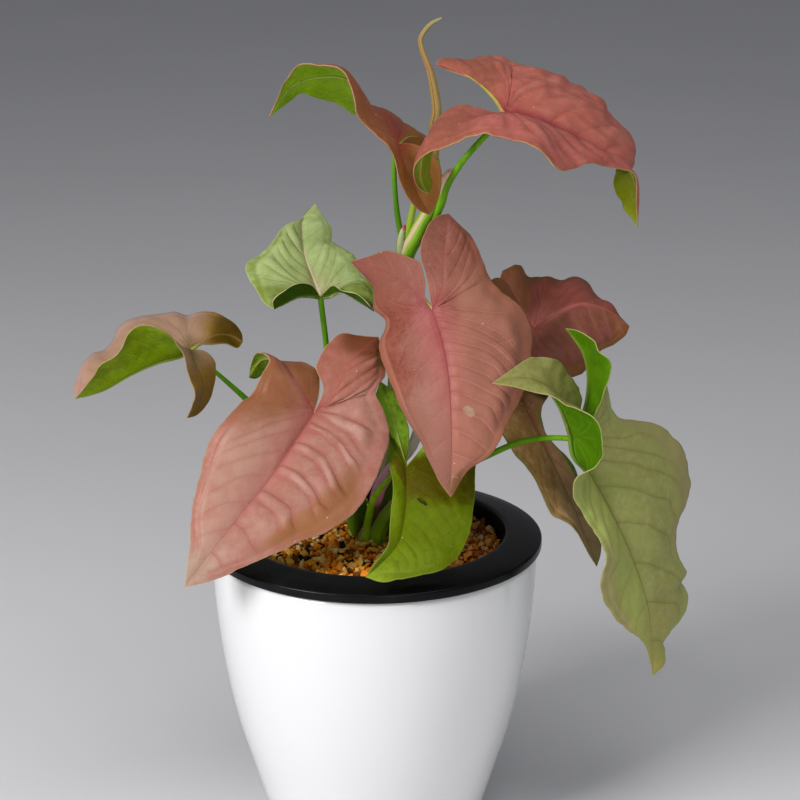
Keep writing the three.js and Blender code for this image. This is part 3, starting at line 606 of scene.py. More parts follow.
# %% Veins
COLLECTING_VEIN = 0.86  # share of the way from midrib to margin
INNERMOST_COLLECTING = 0.2  # the same share at the tip, where the collecting vein has closed in
LOBE_VEINS = (0, 0.24, 0.50, 0.76, 1.0)
LOBE_LEAN = 0.12  # how much more the veins of a lobe lean than those of the blade
FAN_VEINS = 2  # veins that spread from the joint itself, on each side of the line across the blade


def vein_number(along, across, relief):
    """The vein count, how far the veins show, from 0 to 1, and where the collecting vein runs. On the
    blade the veins start at relief["veins"], as shares of its length, and have moved by relief["lean"]
    of what is left of it where they meet the collecting vein."""
    closing = soft_step(along, relief["closing"], 1.05)
    collecting = COLLECTING_VEIN - (COLLECTING_VEIN - INNERMOST_COLLECTING) * closing
    lean = np.where(along > 0, relief["lean"], relief["lean"] + LOBE_LEAN * soft_step(-along, 0, 0.3))
    swept = lean * np.clip(across / COLLECTING_VEIN, 0, 1.15) ** relief["bend"]
    start = (np.abs(along) - swept) / (1 - swept)
    starts = (0, *relief["veins"], 1)
    count = np.where(
        along > 0,
        np.interp(start, starts, np.arange(len(starts))),
        np.interp(start, LOBE_VEINS, np.arange(len(LOBE_VEINS))),
    )
    fan = FAN_VEINS * (np.abs(along) / np.maximum(swept, 1e-4) - 1)
    count = np.where(start < 0, fan, count)
    shown = soft_step(np.abs(along), 1.0, 0.93)
    return count, shown, collecting


def soft_step(value, low, high):
    t = np.clip((value - low) / (high - low), 0, 1)
    return t * t * (3 - 2 * t)


def uneven(points, size):
    """A smooth unevenness from about -1 to 1 at each point, whose bumps are about size mm wide."""
    flat = np.asarray(points).reshape(-1, 3) / size
    return np.array([noise.noise(Vector(place)) for place in flat]).reshape(np.shape(points)[:-1]) * 1.6


print("fields between the veins of a lobe:", len(LOBE_VEINS) - 1)

# %% [markdown]
# ## One half of a blade
# A strip lies between an inner line, the midrib or a lobe's rib, and an outer one, the margin or the
# lobe's inner edge. `strips` finds matching points of both lines, row by row. `raise_strip` fills the
# width between them, arches it, waves its margin, quilts it and bites its edge. Every other pleat of
# the quilt is lower, and bumps of two sizes crumple the whole strip.

# %% Strips
ROW_FINENESS = 12  # rows of the lesson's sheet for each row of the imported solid
MAIN_COLUMNS = 30
LOBE_COLUMNS = 12
WANDER = 0.024  # how far a side vein wanders, as a share of the blade's length
WANDER_SIZE = 11  # mm from bend to bend of a wandering vein
PLEAT_HEIGHTS = (0.6, 1.0)  # of each even and each odd pleat, as shares of the quilt's height
PLEAT_PATCHES = 13  # mm, the size of the patches where the pleats are higher or lower
PUCKER_SIZES = ((0.7, 14), (0.4, 5.5))  # height as a share of the crumple, and width in mm
BITE_SIZES = ((0.5, 3.2), (0.8, 7.5))  # depth as a share of the nibble, and width in mm
NARROW, WIDE = 4, 14  # mm: a narrow strip has no relief, and a wide one has all of it


def strips(cage, side, rows):
    """The strip from midrib to margin and the strip along the lobe's inner edge."""
    half = cage[side]
    midrib = Line([cage["joint"], *cage["midrib"]])
    rib = Line([cage["joint"], *half["rib"], half["lobe"]])
    inner = Line([half["lobe"], *half["inner"], cage["joint"]])
    margin = Line([half["lobe"], *half["margin"], cage["midrib"][-1]])
    waist = margin.share_of(half["waist"] + 1)
    lobe_rows, blade_rows = (count * ROW_FINENESS for count in rows)
    down = np.linspace(0, 1, lobe_rows + 1)
    out = np.linspace(0, 1, blade_rows + 1)[1:]
    main = {
        "inner": np.vstack([rib.at(1 - down), midrib.at(out)]),
        "outer": np.vstack([margin.at(waist * down), margin.at(waist + (1 - waist) * out)]),
        "along": np.concatenate([down - 1, out]),
    }
    lobe = {"inner": rib.at(1 - down), "outer": inner.at(down), "along": down - 1}
    return main, lobe


def strip_normals(strip, up):
    reach = strip["outer"] - strip["inner"]
    run = np.gradient(strip["inner"] + strip["outer"], axis=0)
    return unit(np.cross(reach, run)) * up


def raise_strip(strip, up, form, columns, relief):
    """Points of the strip's grid, with the numbers that its finish reads. up is 1 or -1 and turns the
    strip's normals to the upper side. v is the share of the way from the inner line to the outer one."""
    even = np.linspace(0, 1, columns + 1)
    across = 0.5 * even + 0.5 * (0.5 - 0.5 * np.cos(np.pi * even))
    reach = strip["outer"] - strip["inner"]
    width = np.linalg.norm(reach, axis=1)[:, None]
    normals = strip_normals(strip, up)
    share = np.linspace(0, 1, len(width))[:, None]
    along = np.repeat(strip["along"][:, None], columns + 1, axis=1)
    v = np.repeat(across[None], len(width), axis=0)
    flat = strip["inner"][:, None] + reach[:, None] * v[..., None]

    arch = form["puff"] * width * 4 * v * (1 - v)
    ripple = form["wave"] * np.sin(np.pi * share) * v**2 * np.sin(2 * np.pi * form["ripples"] * share)
    count, shown, collecting = vein_number(along + WANDER * uneven(flat, WANDER_SIZE) * v, v, relief)
    inside = soft_step(v, collecting + 0.02, collecting - 0.16)
    off_rib = soft_step(v * width, 0.0, 3.0)
    strong = 1 - 0.75 * soft_step(along, relief["until"] - 0.12, relief["until"] + 0.12)
    in_lobe = 1 - (1 - relief["in_lobe"]) * soft_step(-along, 0, 0.12)
    varied = (0.75 + 0.45 * uneven(flat, PLEAT_PATCHES)) * in_lobe
    low, high = PLEAT_HEIGHTS
    pleat_height = (high + low) / 2 - (high - low) / 2 * np.cos(np.pi * np.floor(count))
    pillow = np.abs(np.sin(np.pi * count)) ** relief["sharp"] * pleat_height
    quilt = pillow * shown * inside * off_rib * strong * varied
    puckers = sum(share_of_height * uneven(flat, size) for share_of_height, size in PUCKER_SIZES)
    more_in_lobe = 1 + relief["lobe_crumple"] * soft_step(-along, 0.05, 0.40)
    crumple = relief["crumple"] * more_in_lobe * puckers * off_rib * (0.5 + 0.5 * v)
    beyond = soft_step(v, collecting - 0.01, 1.05) * off_rib
    crease = soft_step(np.abs(v - collecting) * width, 1.5, 0.0) * off_rib
    lift = relief["quilt"] * quilt - relief["roll"] * beyond - relief["crease"] * crease
    height = arch + ripple + (lift + crumple) * soft_step(width, NARROW, WIDE)

    points = flat + normals[:, None] * height[..., None]
    bites = sum(share_of_depth * uneven(strip["outer"], size) for share_of_depth, size in BITE_SIZES)
    nibbled = relief["nibble"] * bites * soft_step(width[:, 0], 4, 12)
    points += (unit(reach) * nibbled[:, None])[:, None] * (v**4)[..., None]
    steps = [np.linalg.norm(np.gradient(points, axis=axis), axis=-1) for axis in (0, 1)]
    rates = [np.abs(np.gradient(count, axis=axis)) / np.maximum(steps[axis], 1e-3) for axis in (0, 1)]
    numbers = {
        "along": along,
        "across": v,
        "side": np.full(v.shape, float(up)),
        "veins": count,
        "veins_shown": shown * inside * relief["lines"] * (1 - 0.4 * soft_step(-along, 0, 0.2)),
        # where the finish paints a highlight on the tops of the pleats
        "crest": quilt * min(1, relief["quilt"]),
        "vein_gap": 1 / np.maximum(np.hypot(*rates), 0.02),
        "from_rib": v * width,
        "from_edge": (1 - v) * width,
        "band": soft_step((v - collecting) * width, -0.6, 0.6) * soft_step(width, 6, 14),
    }
    return points, numbers


print("rows for each packed row:", ROW_FINENESS)

# %% [markdown]
# ## From strips to a leaf
# The four strips of a blade share their ribs, so merging doubled corners makes one sheet of it. A
# Solidify modifier gives the sheet its thickness. It also gives the underside and the thin edge line
# materials of their own. The midrib and the two lobe ribs stand out below the blade, so they are thin
# tapered tubes sunk in its underside.

# %% Tubes along a line
def wrap(path, sides, step, reference=(0, 1, 0), turn=(0, 1), flare=None):
    """Points of a grid wrapped round a path of [x, y, z, radius], with the share along and round it.
    turn is where the wrap starts and ends, in whole turns. At a quarter turn it faces the reference.
    flare works out what share of the path's radius it has at each place."""
    line = Line(path)
    share = np.linspace(0, 1, max(4, round(line.total / step)) + 1)
    places = line.at(share)
    forward = unit(np.gradient(places[:, :3], axis=0))
    across = unit(np.cross(np.broadcast_to(np.array(reference, float), forward.shape), forward))
    up = np.cross(forward, across)
    round_share = np.linspace(*turn, sides + 1)
    angle = 2 * np.pi * round_share
    radius = places[:, 3:4] * (1 if flare is None else flare(share[:, None], round_share[None]))
    ring = across[:, None] * np.cos(angle)[None, :, None] + up[:, None] * np.sin(angle)[None, :, None]
    points = places[:, None, :3] + ring * radius[..., None]
    shape = (len(share), sides + 1)
    numbers = {
        "along": np.broadcast_to(share[:, None], shape),
        "round": np.broadcast_to(round_share[None], shape),
    }
    return points, numbers


END_ANGLES = (30, 60, 90)  # degrees
END_DEPTH = 0.6  # how far an end stands out, as a share of the tube's radius


def rounded_ends(points, numbers):
    """The same grid with its two ends drawn in to closed round caps."""
    caps = []
    for end, beside in ((0, 1), (-1, -2)):
        centre = points[end, :-1].mean(axis=0)
        outward = unit(centre - points[beside, :-1].mean(axis=0))
        spokes = points[end] - centre
        depth = np.linalg.norm(spokes, axis=1).mean() * END_DEPTH
        turns = [math.radians(angle) for angle in END_ANGLES]
        caps.append([centre + spokes * math.cos(a) + outward * depth * math.sin(a) for a in turns])
    closed = np.concatenate([caps[0][::-1], points, caps[1]])
    padding = ([len(END_ANGLES)] * 2, (0, 0))
    return closed, {name: np.pad(number, padding, mode="edge") for name, number in numbers.items()}


tube_points, _ = rounded_ends(*wrap([(0, 0, 0, 1), (0, 0, 5, 1), (0, 0, 9, 1)], 8, 1))
print("a tube of 8 sides and 9 mm has", tube_points.shape[0], "rings")


# %% Leaf builder
BLADE_THICKNESS = 0.45  # mm
RIB_SIDES = 10
RIB_RING = 1.2  # mm from ring to ring
RIB_SINK = 0.95  # how deep a rib's centre lies below the sheet, as a share of its radius
RIB_END = 0.22  # a rib's radius at its thin end, as a share of the thick one
LOBE_RIB = 0.8  # a lobe rib's radius as a share of the midrib's
PATCHES = 3  # a blade has up to three kinds of coloured patch
# The strip along a lobe's inner edge has no quilting of its own.
PLAIN = {"veins": (0.5,), "lean": 0.3, "bend": 1.3, "closing": 0.9, "until": 0.9, "sharp": 1.0,
         "quilt": 0.0, "roll": 0.0, "crease": 0.0, "lines": 0.3, "in_lobe": 1.0}


def joint_normal(cage, rows):
    """Which way the blade's upper side faces at its joint."""
    total = np.zeros(3)
    for side, up in HALVES.items():
        main, _ = strips(cage, side, rows)
        middle = rows[0] * ROW_FINENESS
        total += strip_normals(main, up)[middle + 2]
    return unit(total)


def make_blade(name, reliefs, patches, slot, materials):
    """One leaf's sheet. reliefs holds the left half's and the right half's."""
    cage, form = BLADES[name], FORMS[name]
    bm = bmesh.new()
    for (side, up), relief in zip(HALVES.items(), reliefs):
        main, lobe = strips(cage, side, form["rows"])
        points, numbers = raise_strip(main, up, form, MAIN_COLUMNS, relief)
        add_patches(numbers, patches, side)
        lay_grid(bm, points, numbers, turned=up < 0)
        flat = {"puff": 0, "wave": 0, "ripples": 0}
        shared = {key: relief[key] for key in ("crumple", "lobe_crumple", "nibble")}
        points, numbers = raise_strip(lobe, -up, flat, LOBE_COLUMNS, {**PLAIN, **shared})
        numbers["side"] *= -1
        add_patches(numbers, patches, side + "_inner")
        lay_grid(bm, points, numbers, turned=up > 0)
    blade = finish_piece(bm, "blade_" + name, "leaf_" + name, slot, materials)
    solid = blade.modifiers.new("thickness", "SOLIDIFY")
    solid.thickness = BLADE_THICKNESS * MM
    solid.offset = 0
    solid.material_offset = 1
    solid.material_offset_rim = 2
    return blade


def add_patches(numbers, patches, side):
    """Each patch is a soft oval on one half: 1 in its middle and 0 outside it."""
    for index in range(PATCHES):
        numbers[f"patch_{index}"] = np.zeros(numbers["along"].shape)
    for index, where, along, across, long, wide in patches:
        if where != side:
            continue
        reach = np.hypot((numbers["along"] - along) / long, (numbers["across"] - across) / wide)
        numbers[f"patch_{index}"] = np.maximum(numbers[f"patch_{index}"], soft_step(reach, 1.3, 0.4))


def make_ribs(name, thick, slot, material):
    """The midrib and lobe ribs under a blade. thick is the midrib's radius at the joint, in mm."""
    cage, form = BLADES[name], FORMS[name]
    mains = {side: strips(cage, side, form["rows"])[0] for side in HALVES}
    normals = {side: strip_normals(mains[side], up) for side, up in HALVES.items()}
    middle = form["rows"][0] * ROW_FINENESS
    bm = bmesh.new()
    routes = [(mains["left"]["inner"][middle:], unit(normals["left"] + normals["right"])[middle:], 1.0)]
    for side in HALVES:
        routes.append((mains[side]["inner"][middle::-1], normals[side][middle::-1], LOBE_RIB))
    for route, up, share in routes:
        radii = np.linspace(1, RIB_END, len(route))[:, None] * thick * share
        path = np.hstack([route - up * radii * RIB_SINK, radii])[:: ROW_FINENESS // 3]
        path = path[:-2]
        points, numbers = rounded_ends(*wrap(path, RIB_SIDES, RIB_RING, up[len(up) // 2]))
        lay_grid(bm, points, numbers)
    bmesh.ops.recalc_face_normals(bm, faces=bm.faces)
    return finish_piece(bm, "ribs_" + name, "leaf_" + name, slot, [material])


print("upper side at the front leaf's joint:", joint_normal(BLADES["front_left"], (6, 13)).round(2))

# %% [markdown]
# ## The skin of a leaf
# A pink arrowhead leaf has a deeper heart round its joint, a body that is paler or browner from half to
# half, dull lobes, a pale line along its edge and a green underside. One recipe paints them all, the
# green leaves too. It reads the numbers that the sheet carries, so the veins of the colour lie in the
# grooves of the relief, and it takes each leaf's own tones from a table. It also paints light and shade:
# a lighter tone on the tops of the pleats is a painted highlight, and the grooves beside the veins are
# darkened with painted shade.

# %% Leaf recipe
FLECK = (0.85, 0.80, 0.74)


def vein_lines(skin, width):
    """1 on the side veins and 0 beside them, and the distance to the nearest one. It and width are in
    mm."""
    offset = skin.node("ShaderNodeMath", {"operation": "PINGPONG"}, {0: skin.attribute("veins"), 1: 0.5})
    distance = offset * skin.attribute("vein_gap")
    return skin.step(distance, width, width * 0.25) * skin.attribute("veins_shown"), distance


class LeafSkin(Finish):
    """The upper side of one leaf. Each of its methods paints over the tones of those before it."""

    def __init__(self, name, look):
        super().__init__("skin_" + name, Specular_IOR_Level=look["gloss"])
        self.look = look
        self.along = self.attribute("along")
        self.from_rib = self.attribute("from_rib")
        self.cloud = self.noise(60, 3)
        self.grain = self.noise(420, 4)
        self.drift = (self.cloud - 0.5) * 1.6
        self.tone = self.mix(look["right"], look["left"], 0.5 - self.attribute("side") * 0.5)

    def paint(self, colour, share):
        """Lays a colour, or the look's tone of that name, over what is there."""
        self.tone = self.mix(self.tone, self.look[colour] if colour in self.look else colour, share)

    def paint_body(self):
        """The tip and margin, then dull clouds, a fine mottle and a painted highlight on the tops of the
        pleats.
        """
        self.paint("tip", self.step(self.along + self.drift * 0.2, self.look["tip_from"], 1.0))
        self.paint("margin", self.attribute("band") * (0.55 + self.cloud * 0.5))
        blotch = self.noise(190, 4)
        self.paint("margin", self.step(blotch * 0.7 + self.cloud * 0.3, 0.56, 0.36) * 0.35)
        mottled = self.step(self.grain * 0.5 + blotch * 0.5, 0.42, 0.64)
        self.paint("mottle", mottled * self.look["mottle_share"])
        # Painted highlight: the tops of the pleats are painted a lighter tone.
        crest_highlight_mask = self.step(self.attribute("crest"), 0.45, 0.95)
        self.paint("crest", crest_highlight_mask * self.look["crest_highlight_share"])

    def paint_joint_and_lobes(self):
        near_joint = abs(self.along) * 2.2 + self.from_rib * 0.055 + self.drift * 0.35
        self.paint("heart", self.step(near_joint, 0.95, 0.0) * 0.8)
        speckled = 0.85 - (self.grain - 0.5) * 0.9
        self.paint("lobe", self.step(self.along + self.drift * 0.12, -0.06, -0.42) * speckled)

    def paint_patches(self):
        for index, (colour, blur) in enumerate(self.look["patches"]):
            rough_edge = self.drift * 0.2 + (self.grain - 0.5) * self.look["ragged"]
            inside = self.attribute(f"patch_{index}") + rough_edge
            self.paint(colour, self.step(inside, 0.5 - blur, 0.5 + blur))

    def paint_veins(self):
        """The side veins in their grooves, with painted shade beside them, and the net between them. Gives
        the lines and the net back for the relief.
        """
        lines, distance = vein_lines(self, 0.55)
        # Painted shade: the grooves beside the side veins are darkened with the heart's tone.
        groove_shade = self.step(distance, 2.4, 0.3) * self.attribute("veins_shown")
        self.paint("heart", groove_shade * self.look["groove_shade"])
        self.paint("vein", lines * self.look["vein_share"])
        net = self.cells(620, "DISTANCE_TO_EDGE")
        self.paint("vein", self.step(net, 0.09, 0.0) * 0.10)
        return lines, net

    def paint_round_the_rib(self):
        """Loops round the joint, a wide blush where the leaf has one, the heart's tone and the rib."""
        loops = self.step(abs(self.noise(230, 2) - 0.5), 0.018, 0.004)
        around = self.step(abs(self.along) * 3.0 + self.from_rib * 0.06, 0.75, 0.15)
        self.paint("mottle", loops * around * 0.55)
        if "blush" in self.look:
            blushed = self.step(self.from_rib + self.drift * 6, 13, 2) * self.step(self.along, 0.9, 0.3)
            self.paint("blush", blushed * self.step(self.along, -0.1, 0.05) * 0.5)
        halo = self.step(self.from_rib + self.drift * 1.2, self.look["halo_width"], 0.3)
        halo = halo * self.step(self.along, 0.75, 0.15) * self.step(self.along, -0.25, -0.02)
        self.paint("heart", halo * self.look["halo"])
        width = self.look["rib_width"]
        tapered = self.from_rib / (1.25 - self.along)
        faded = 0.9 - self.step(self.along, -0.02, -0.30) * 0.6
        self.paint("rib", self.step(tapered, width, width * 0.3) * faded)

    def paint_edge_and_flecks(self):
        self.paint("edge", self.step(self.attribute("from_edge"), 0.55, 0.15) * 0.6)
        flecks = self.step(self.cells(300), 0.085, 0.05) * self.step(self.noise(90), 0.60, 0.66)
        self.paint(FLECK, flecks * 0.7)


def leaf_skin(name, look):
    skin = LeafSkin(name, look)
    skin.paint_body()
    skin.paint_joint_and_lobes()
    skin.paint_patches()
    lines, net = skin.paint_veins()
    skin.paint_round_the_rib()
    skin.paint_edge_and_flecks()
    relief = skin.step(net, 0.0, 0.22) * 0.12 + skin.grain * 0.5 - lines * 0.6
    rough = 0.34 + skin.grain * 0.20
    return skin.set(Base_Color=skin.tone, Roughness=rough, Normal=skin.bump(relief, 0.00045, 0.5))


def leaf_underside(name, look):
    skin = Finish("underside_" + name, Specular_IOR_Level=0.08)
    cloud, grain = skin.noise(70, 3), skin.noise(500, 3)
    tone = skin.mix(look["under"], look["under_dark"], skin.step(cloud * 0.7 + grain * 0.3, 0.35, 0.65))
    lines, _ = vein_lines(skin, 0.7)
    tone = skin.mix(tone, look["under_vein"], lines * 0.65)
    net = skin.cells(330, "DISTANCE_TO_EDGE")
    tone = skin.mix(tone, look["under_vein"], skin.step(net, 0.09, 0.0) * 0.10)
    tone = skin.mix(tone, look["under_vein"], skin.step(skin.attribute("from_rib"), 1.4, 0.3) * 0.8)
    relief = grain * 0.4 + lines + skin.step(net, 0.16, 0.0) * 0.15
    return skin.set(Base_Color=tone, Roughness=0.5 + grain * 0.2, Normal=skin.bump(relief, 0.0004, 0.6))


def leaf_edge(name, look):
    skin = Finish("edge_" + name, Roughness=0.5)
    tone = skin.mix(look["edge"], look["margin"], skin.step(skin.noise(150, 3), 0.45, 0.7))
    return skin.set(Base_Color=tone)


def rib_skin(name, look):
    skin = Finish("rib_" + name, Roughness=0.45)
    streaks = skin.noise(300, 2, (1, 1, 0.25))
    tone = skin.mix(look["under_vein"], look["rib"], skin.step(streaks, 0.4, 0.7) * 0.5)
    return skin.set(Base_Color=tone, Normal=skin.bump(streaks, 0.0003, 0.4))


print("coats on a leaf's upper side:", sum(method.startswith("paint_") for method in dir(LeafSkin)))

# %% [markdown]
# ## Tones of each leaf
# Colours are linear red, green and blue. `USUAL` holds what most leaves share, and each leaf's own table
# adds to it or replaces it. `left` and `right` are the body of each half, `heart` the tone round the
# joint, and `blush` a tint along the midrib that only two leaves have. `patches` lists a colour and a
# blur for each kind of patch, and `ragged` says how uneven a patch's edge is. Widths are in mm, shares
# run from 0 to 1, and `tip_from` is the place along the blade where the tip's tone sets in.

# %% Tones
# Painted light: the tone for the tops of the pleats and its share make a painted highlight there, and the
# groove share is painted shade beside the side veins.
USUAL = {
    "under": (0.19, 0.29, 0.006), "under_dark": (0.13, 0.23, 0.004), "under_vein": (0.30, 0.38, 0.05),
    "gloss": 0.12, "tip_from": 0.66, "mottle_share": 0.45, "crest_highlight_share": 0.4, "vein_share": 0.5,
    "groove_shade": 0.25, "halo": 0.4, "halo_width": 2.6, "rib_width": 0.42, "ragged": 0.3, "patches": (),
}
LOOKS = {
    "front_left": {
        "under": (0.26, 0.40, 0.034),
        "heart": (0.25, 0.038, 0.022), "left": (0.36, 0.160, 0.118), "right": (0.43, 0.225, 0.166),
        "tip": (0.37, 0.26, 0.190), "lobe": (0.32, 0.101, 0.066), "margin": (0.39, 0.139, 0.108),
        "mottle": (0.46, 0.26, 0.195), "vein": (0.32, 0.08, 0.06), "rib": (0.33, 0.04, 0.065),
        "edge": (0.52, 0.38, 0.20), "vein_share": 0.45, "groove_shade": 0.34, "halo": 0.25,
        "patches": [((0.25, 0.092, 0.036), 0.5), ((0.16, 0.044, 0.017), 0.4), ((0.31, 0.125, 0.05), 0.5)],
        "gloss": 0.2, "mottle_share": 0.38, "blush": (0.44, 0.165, 0.140),
        # A painted highlight on the tops of this leaf's pleats.
        "crest": (0.56, 0.32, 0.275), "crest_highlight_share": 0.5,
    },
    "centre": {
        "heart": (0.23, 0.023, 0.029), "left": (0.36, 0.146, 0.098), "right": (0.21, 0.050, 0.032),
        "tip": (0.60, 0.46, 0.100), "lobe": (0.25, 0.082, 0.056), "margin": (0.36, 0.130, 0.078),
        "mottle": (0.36, 0.143, 0.092), "vein": (0.50, 0.23, 0.18), "rib": (0.26, 0.035, 0.048),
        "edge": (0.40, 0.19, 0.10), "vein_share": 0.5, "halo": 0.3, "ragged": 0.5,
        "mottle_share": 0.3, "gloss": 0.15, "blush": (0.42, 0.125, 0.115), "groove_shade": 0.20,
        "patches": [((0.38, 0.30, 0.18), 0.3), ((0.29, 0.12, 0.084), 0.5), ((0.22, 0.09, 0.04), 0.3)],
        "tip_from": 0.84,
    },
    "top_right": {
        "under": (0.27, 0.31, 0.025), "under_dark": (0.22, 0.26, 0.004), "under_vein": (0.38, 0.40, 0.05),
        "heart": (0.205, 0.020, 0.028), "left": (0.43, 0.114, 0.082), "right": (0.44, 0.112, 0.092),
        "tip": (0.36, 0.12, 0.07), "lobe": (0.27, 0.085, 0.051), "margin": (0.40, 0.106, 0.075),
        "mottle": (0.48, 0.182, 0.133), "vein": (0.28, 0.06, 0.05), "rib": (0.46, 0.06, 0.075),
        "edge": (0.42, 0.28, 0.10), "vein_share": 0.40, "halo": 0.8, "halo_width": 5.0,
        "gloss": 0.18,
    },
    "top_left": {
        "under": (0.27, 0.46, 0.006), "under_dark": (0.20, 0.34, 0.002), "under_vein": (0.32, 0.46, 0.05),
        "heart": (0.38, 0.056, 0.036), "left": (0.33, 0.094, 0.032), "right": (0.28, 0.059, 0.040),
        "tip": (0.22, 0.11, 0.035), "lobe": (0.29, 0.122, 0.026), "margin": (0.27, 0.116, 0.041),
        "mottle": (0.36, 0.146, 0.059), "vein": (0.16, 0.04, 0.02), "rib": (0.34, 0.08, 0.05),
        "edge": (0.44, 0.20, 0.13),
    },
    "back_left": {
        "under": (0.025, 0.067, 0.001), "under_dark": (0.035, 0.085, 0.001),
        "under_vein": (0.10, 0.19, 0.01),
        "heart": (0.33, 0.29, 0.137), "left": (0.38, 0.46, 0.169), "right": (0.34, 0.43, 0.169),
        "tip": (0.32, 0.38, 0.14), "lobe": (0.182, 0.24, 0.034), "margin": (0.22, 0.29, 0.065),
        "mottle": (0.46, 0.55, 0.25), "vein": (0.22, 0.28, 0.06), "rib": (0.58, 0.44, 0.32),
        "edge": (0.50, 0.46, 0.22), "rib_width": 0.9,
    },
    "far_left": {
        "under": (0.24, 0.38, 0.002), "under_dark": (0.15, 0.20, 0.001), "under_vein": (0.28, 0.38, 0.02),
        "heart": (0.060, 0.064, 0.001), "left": (0.32, 0.20, 0.11), "right": (0.37, 0.22, 0.137),
        "tip": (0.50, 0.25, 0.21), "lobe": (0.24, 0.13, 0.008), "margin": (0.37, 0.24, 0.21),
        "mottle": (0.45, 0.28, 0.190), "vein": (0.26, 0.12, 0.06), "rib": (0.36, 0.22, 0.10),
        "edge": (0.36, 0.27, 0.07), "mottle_share": 0.25,
        "gloss": 0.05, "patches": [((0.105, 0.058, 0.003), 0.5)],
    },
    "low_front": {
        "under": (0.048, 0.078, 0.001), "under_dark": (0.06, 0.10, 0.001),
        "heart": (0.078, 0.078, 0.001), "left": (0.102, 0.145, 0.001), "right": (0.134, 0.190, 0.002),
        "tip": (0.23, 0.32, 0.022), "lobe": (0.33, 0.58, 0.040), "margin": (0.102, 0.150, 0.003),
        "mottle": (0.148, 0.21, 0.002), "vein": (0.08, 0.12, 0.002), "rib": (0.18, 0.10, 0.006),
        "edge": (0.26, 0.32, 0.04), "vein_share": 0.25, "halo": 0.3, "ragged": 1.6,
        "patches": [((0.003, 0.020, 0.002), 0.15), ((0.09, 0.072, 0.003), 0.5), ((0.07, 0.09, 0.003), 0.4)],
        "gloss": 0.06, "tip_from": 0.50,
    },
    "right_drooping": {
        "under": (0.080, 0.188, 0.001), "under_dark": (0.06, 0.17, 0.001),
        "under_vein": (0.16, 0.31, 0.015),
        "heart": (0.108, 0.160, 0.008), "left": (0.31, 0.31, 0.096), "right": (0.34, 0.38, 0.090),
        "tip": (0.43, 0.36, 0.078), "lobe": (0.198, 0.195, 0.052), "margin": (0.33, 0.42, 0.102),
        "mottle": (0.41, 0.43, 0.165), "vein": (0.25, 0.14, 0.075), "rib": (0.19, 0.09, 0.045),
        "edge": (0.42, 0.37, 0.14), "vein_share": 0.55, "halo": 0.2,
        "patches": [((0.34, 0.31, 0.12), 0.5)],
    },
    "back_right": {
        "under": (0.030, 0.033, 0.001), "under_dark": (0.035, 0.045, 0.001),
        "heart": (0.88, 0.30, 0.25), "left": (0.34, 0.078, 0.066), "right": (0.23, 0.073, 0.053),
        "tip": (0.19, 0.083, 0.02), "lobe": (0.31, 0.128, 0.053), "margin": (0.22, 0.105, 0.024),
        "mottle": (0.34, 0.114, 0.090), "vein": (0.34, 0.09, 0.075), "rib": (0.6, 0.15, 0.15),
        "edge": (0.26, 0.14, 0.06),
        "gloss": 0.08,
    },
    "low_right": {
        # These tones are partly the leaf's own pink-brown and partly painted light: its halves, mottle and
        # tip are made paler, the tip most, because the leaf hangs in the shade of others.
        "under": (0.027, 0.036, 0.001), "under_dark": (0.035, 0.05, 0.001),
        "heart": (0.18, 0.056, 0.029), "left": (0.68, 0.34, 0.175), "right": (0.40, 0.205, 0.066),
        "tip": (0.94, 0.58, 0.37), "lobe": (0.030, 0.020, 0.004), "margin": (0.34, 0.22, 0.07),
        "mottle": (0.71, 0.44, 0.20), "vein": (0.30, 0.13, 0.045), "rib": (0.36, 0.17, 0.06),
        "edge": (0.30, 0.26, 0.08),
        "patches": [((0.14, 0.28, 0.02), 0.3)],
        "gloss": 0.05, "tip_from": 0.30,
    },
}
SLOTS = {
    "front_left": "leaf_pink", "centre": "leaf_pink", "top_right": "leaf_pink",
    "top_left": "leaf_brown_pink", "far_left": "leaf_brown_pink", "low_right": "leaf_brown_pink",
    "back_right": "leaf_dull_pink", "back_left": "leaf_pale_green",
    "right_drooping": "leaf_pale_green", "low_front": "leaf_bright_green",
}
print("leaves with tones:", len(LOOKS))

# %% [markdown]
# ## Relief of each leaf
# Each half has a relief of its own, the left one first. `veins` are the places where its side veins
# leave the midrib, `lean` and `bend` say how they curve, and `closing` is where the collecting vein
# starts to close in. `quilt`, `roll`, `crease`, `crumple` and `nibble` are in mm: the height of the
# pleats, how far the margin rolls down, the groove of the collecting vein, the bumps, and the bites in
# the margin. `sharp` below one makes the pleats fuller, `until` is where they fade, and `in_lobe` is
# their share on the lobe. `lobe_crumple` is how much higher the bumps are there, and `lines` is how much
# the veins' colour shows.
#
# A patch says which colour it has, the half it is on, its place along and across that half, and how far
# it reaches along and across. `_inner` is the strip along the lobe's inner edge.

# %% Reliefs and patches
CLOSE_VEINS = (0.05, 0.11, 0.17, 0.235, 0.30, 0.37, 0.45, 0.54, 0.64, 0.76, 0.88)
PAIRED_VEINS = (0.05, 0.09, 0.17, 0.215, 0.30, 0.35, 0.44, 0.50, 0.64, 0.80)
LOW_VEINS = (0.14, 0.28, 0.42, 0.51, 0.59, 0.67, 0.75, 0.83, 0.91)
OPEN_VEINS = (0.10, 0.22, 0.36, 0.52, 0.68, 0.84)
USUAL_RELIEF = {
    "lean": 0.30, "bend": 1.3, "closing": 0.75, "until": 0.70, "sharp": 0.75,
    "quilt": 0.35, "roll": 0.3, "crease": 0.25, "crumple": 0.6, "lobe_crumple": 0.3, "lines": 0.6,
    "in_lobe": 0.5, "nibble": 0.35,
}


def half_relief(veins=OPEN_VEINS, **own):
    return {**USUAL_RELIEF, "veins": veins, **own}


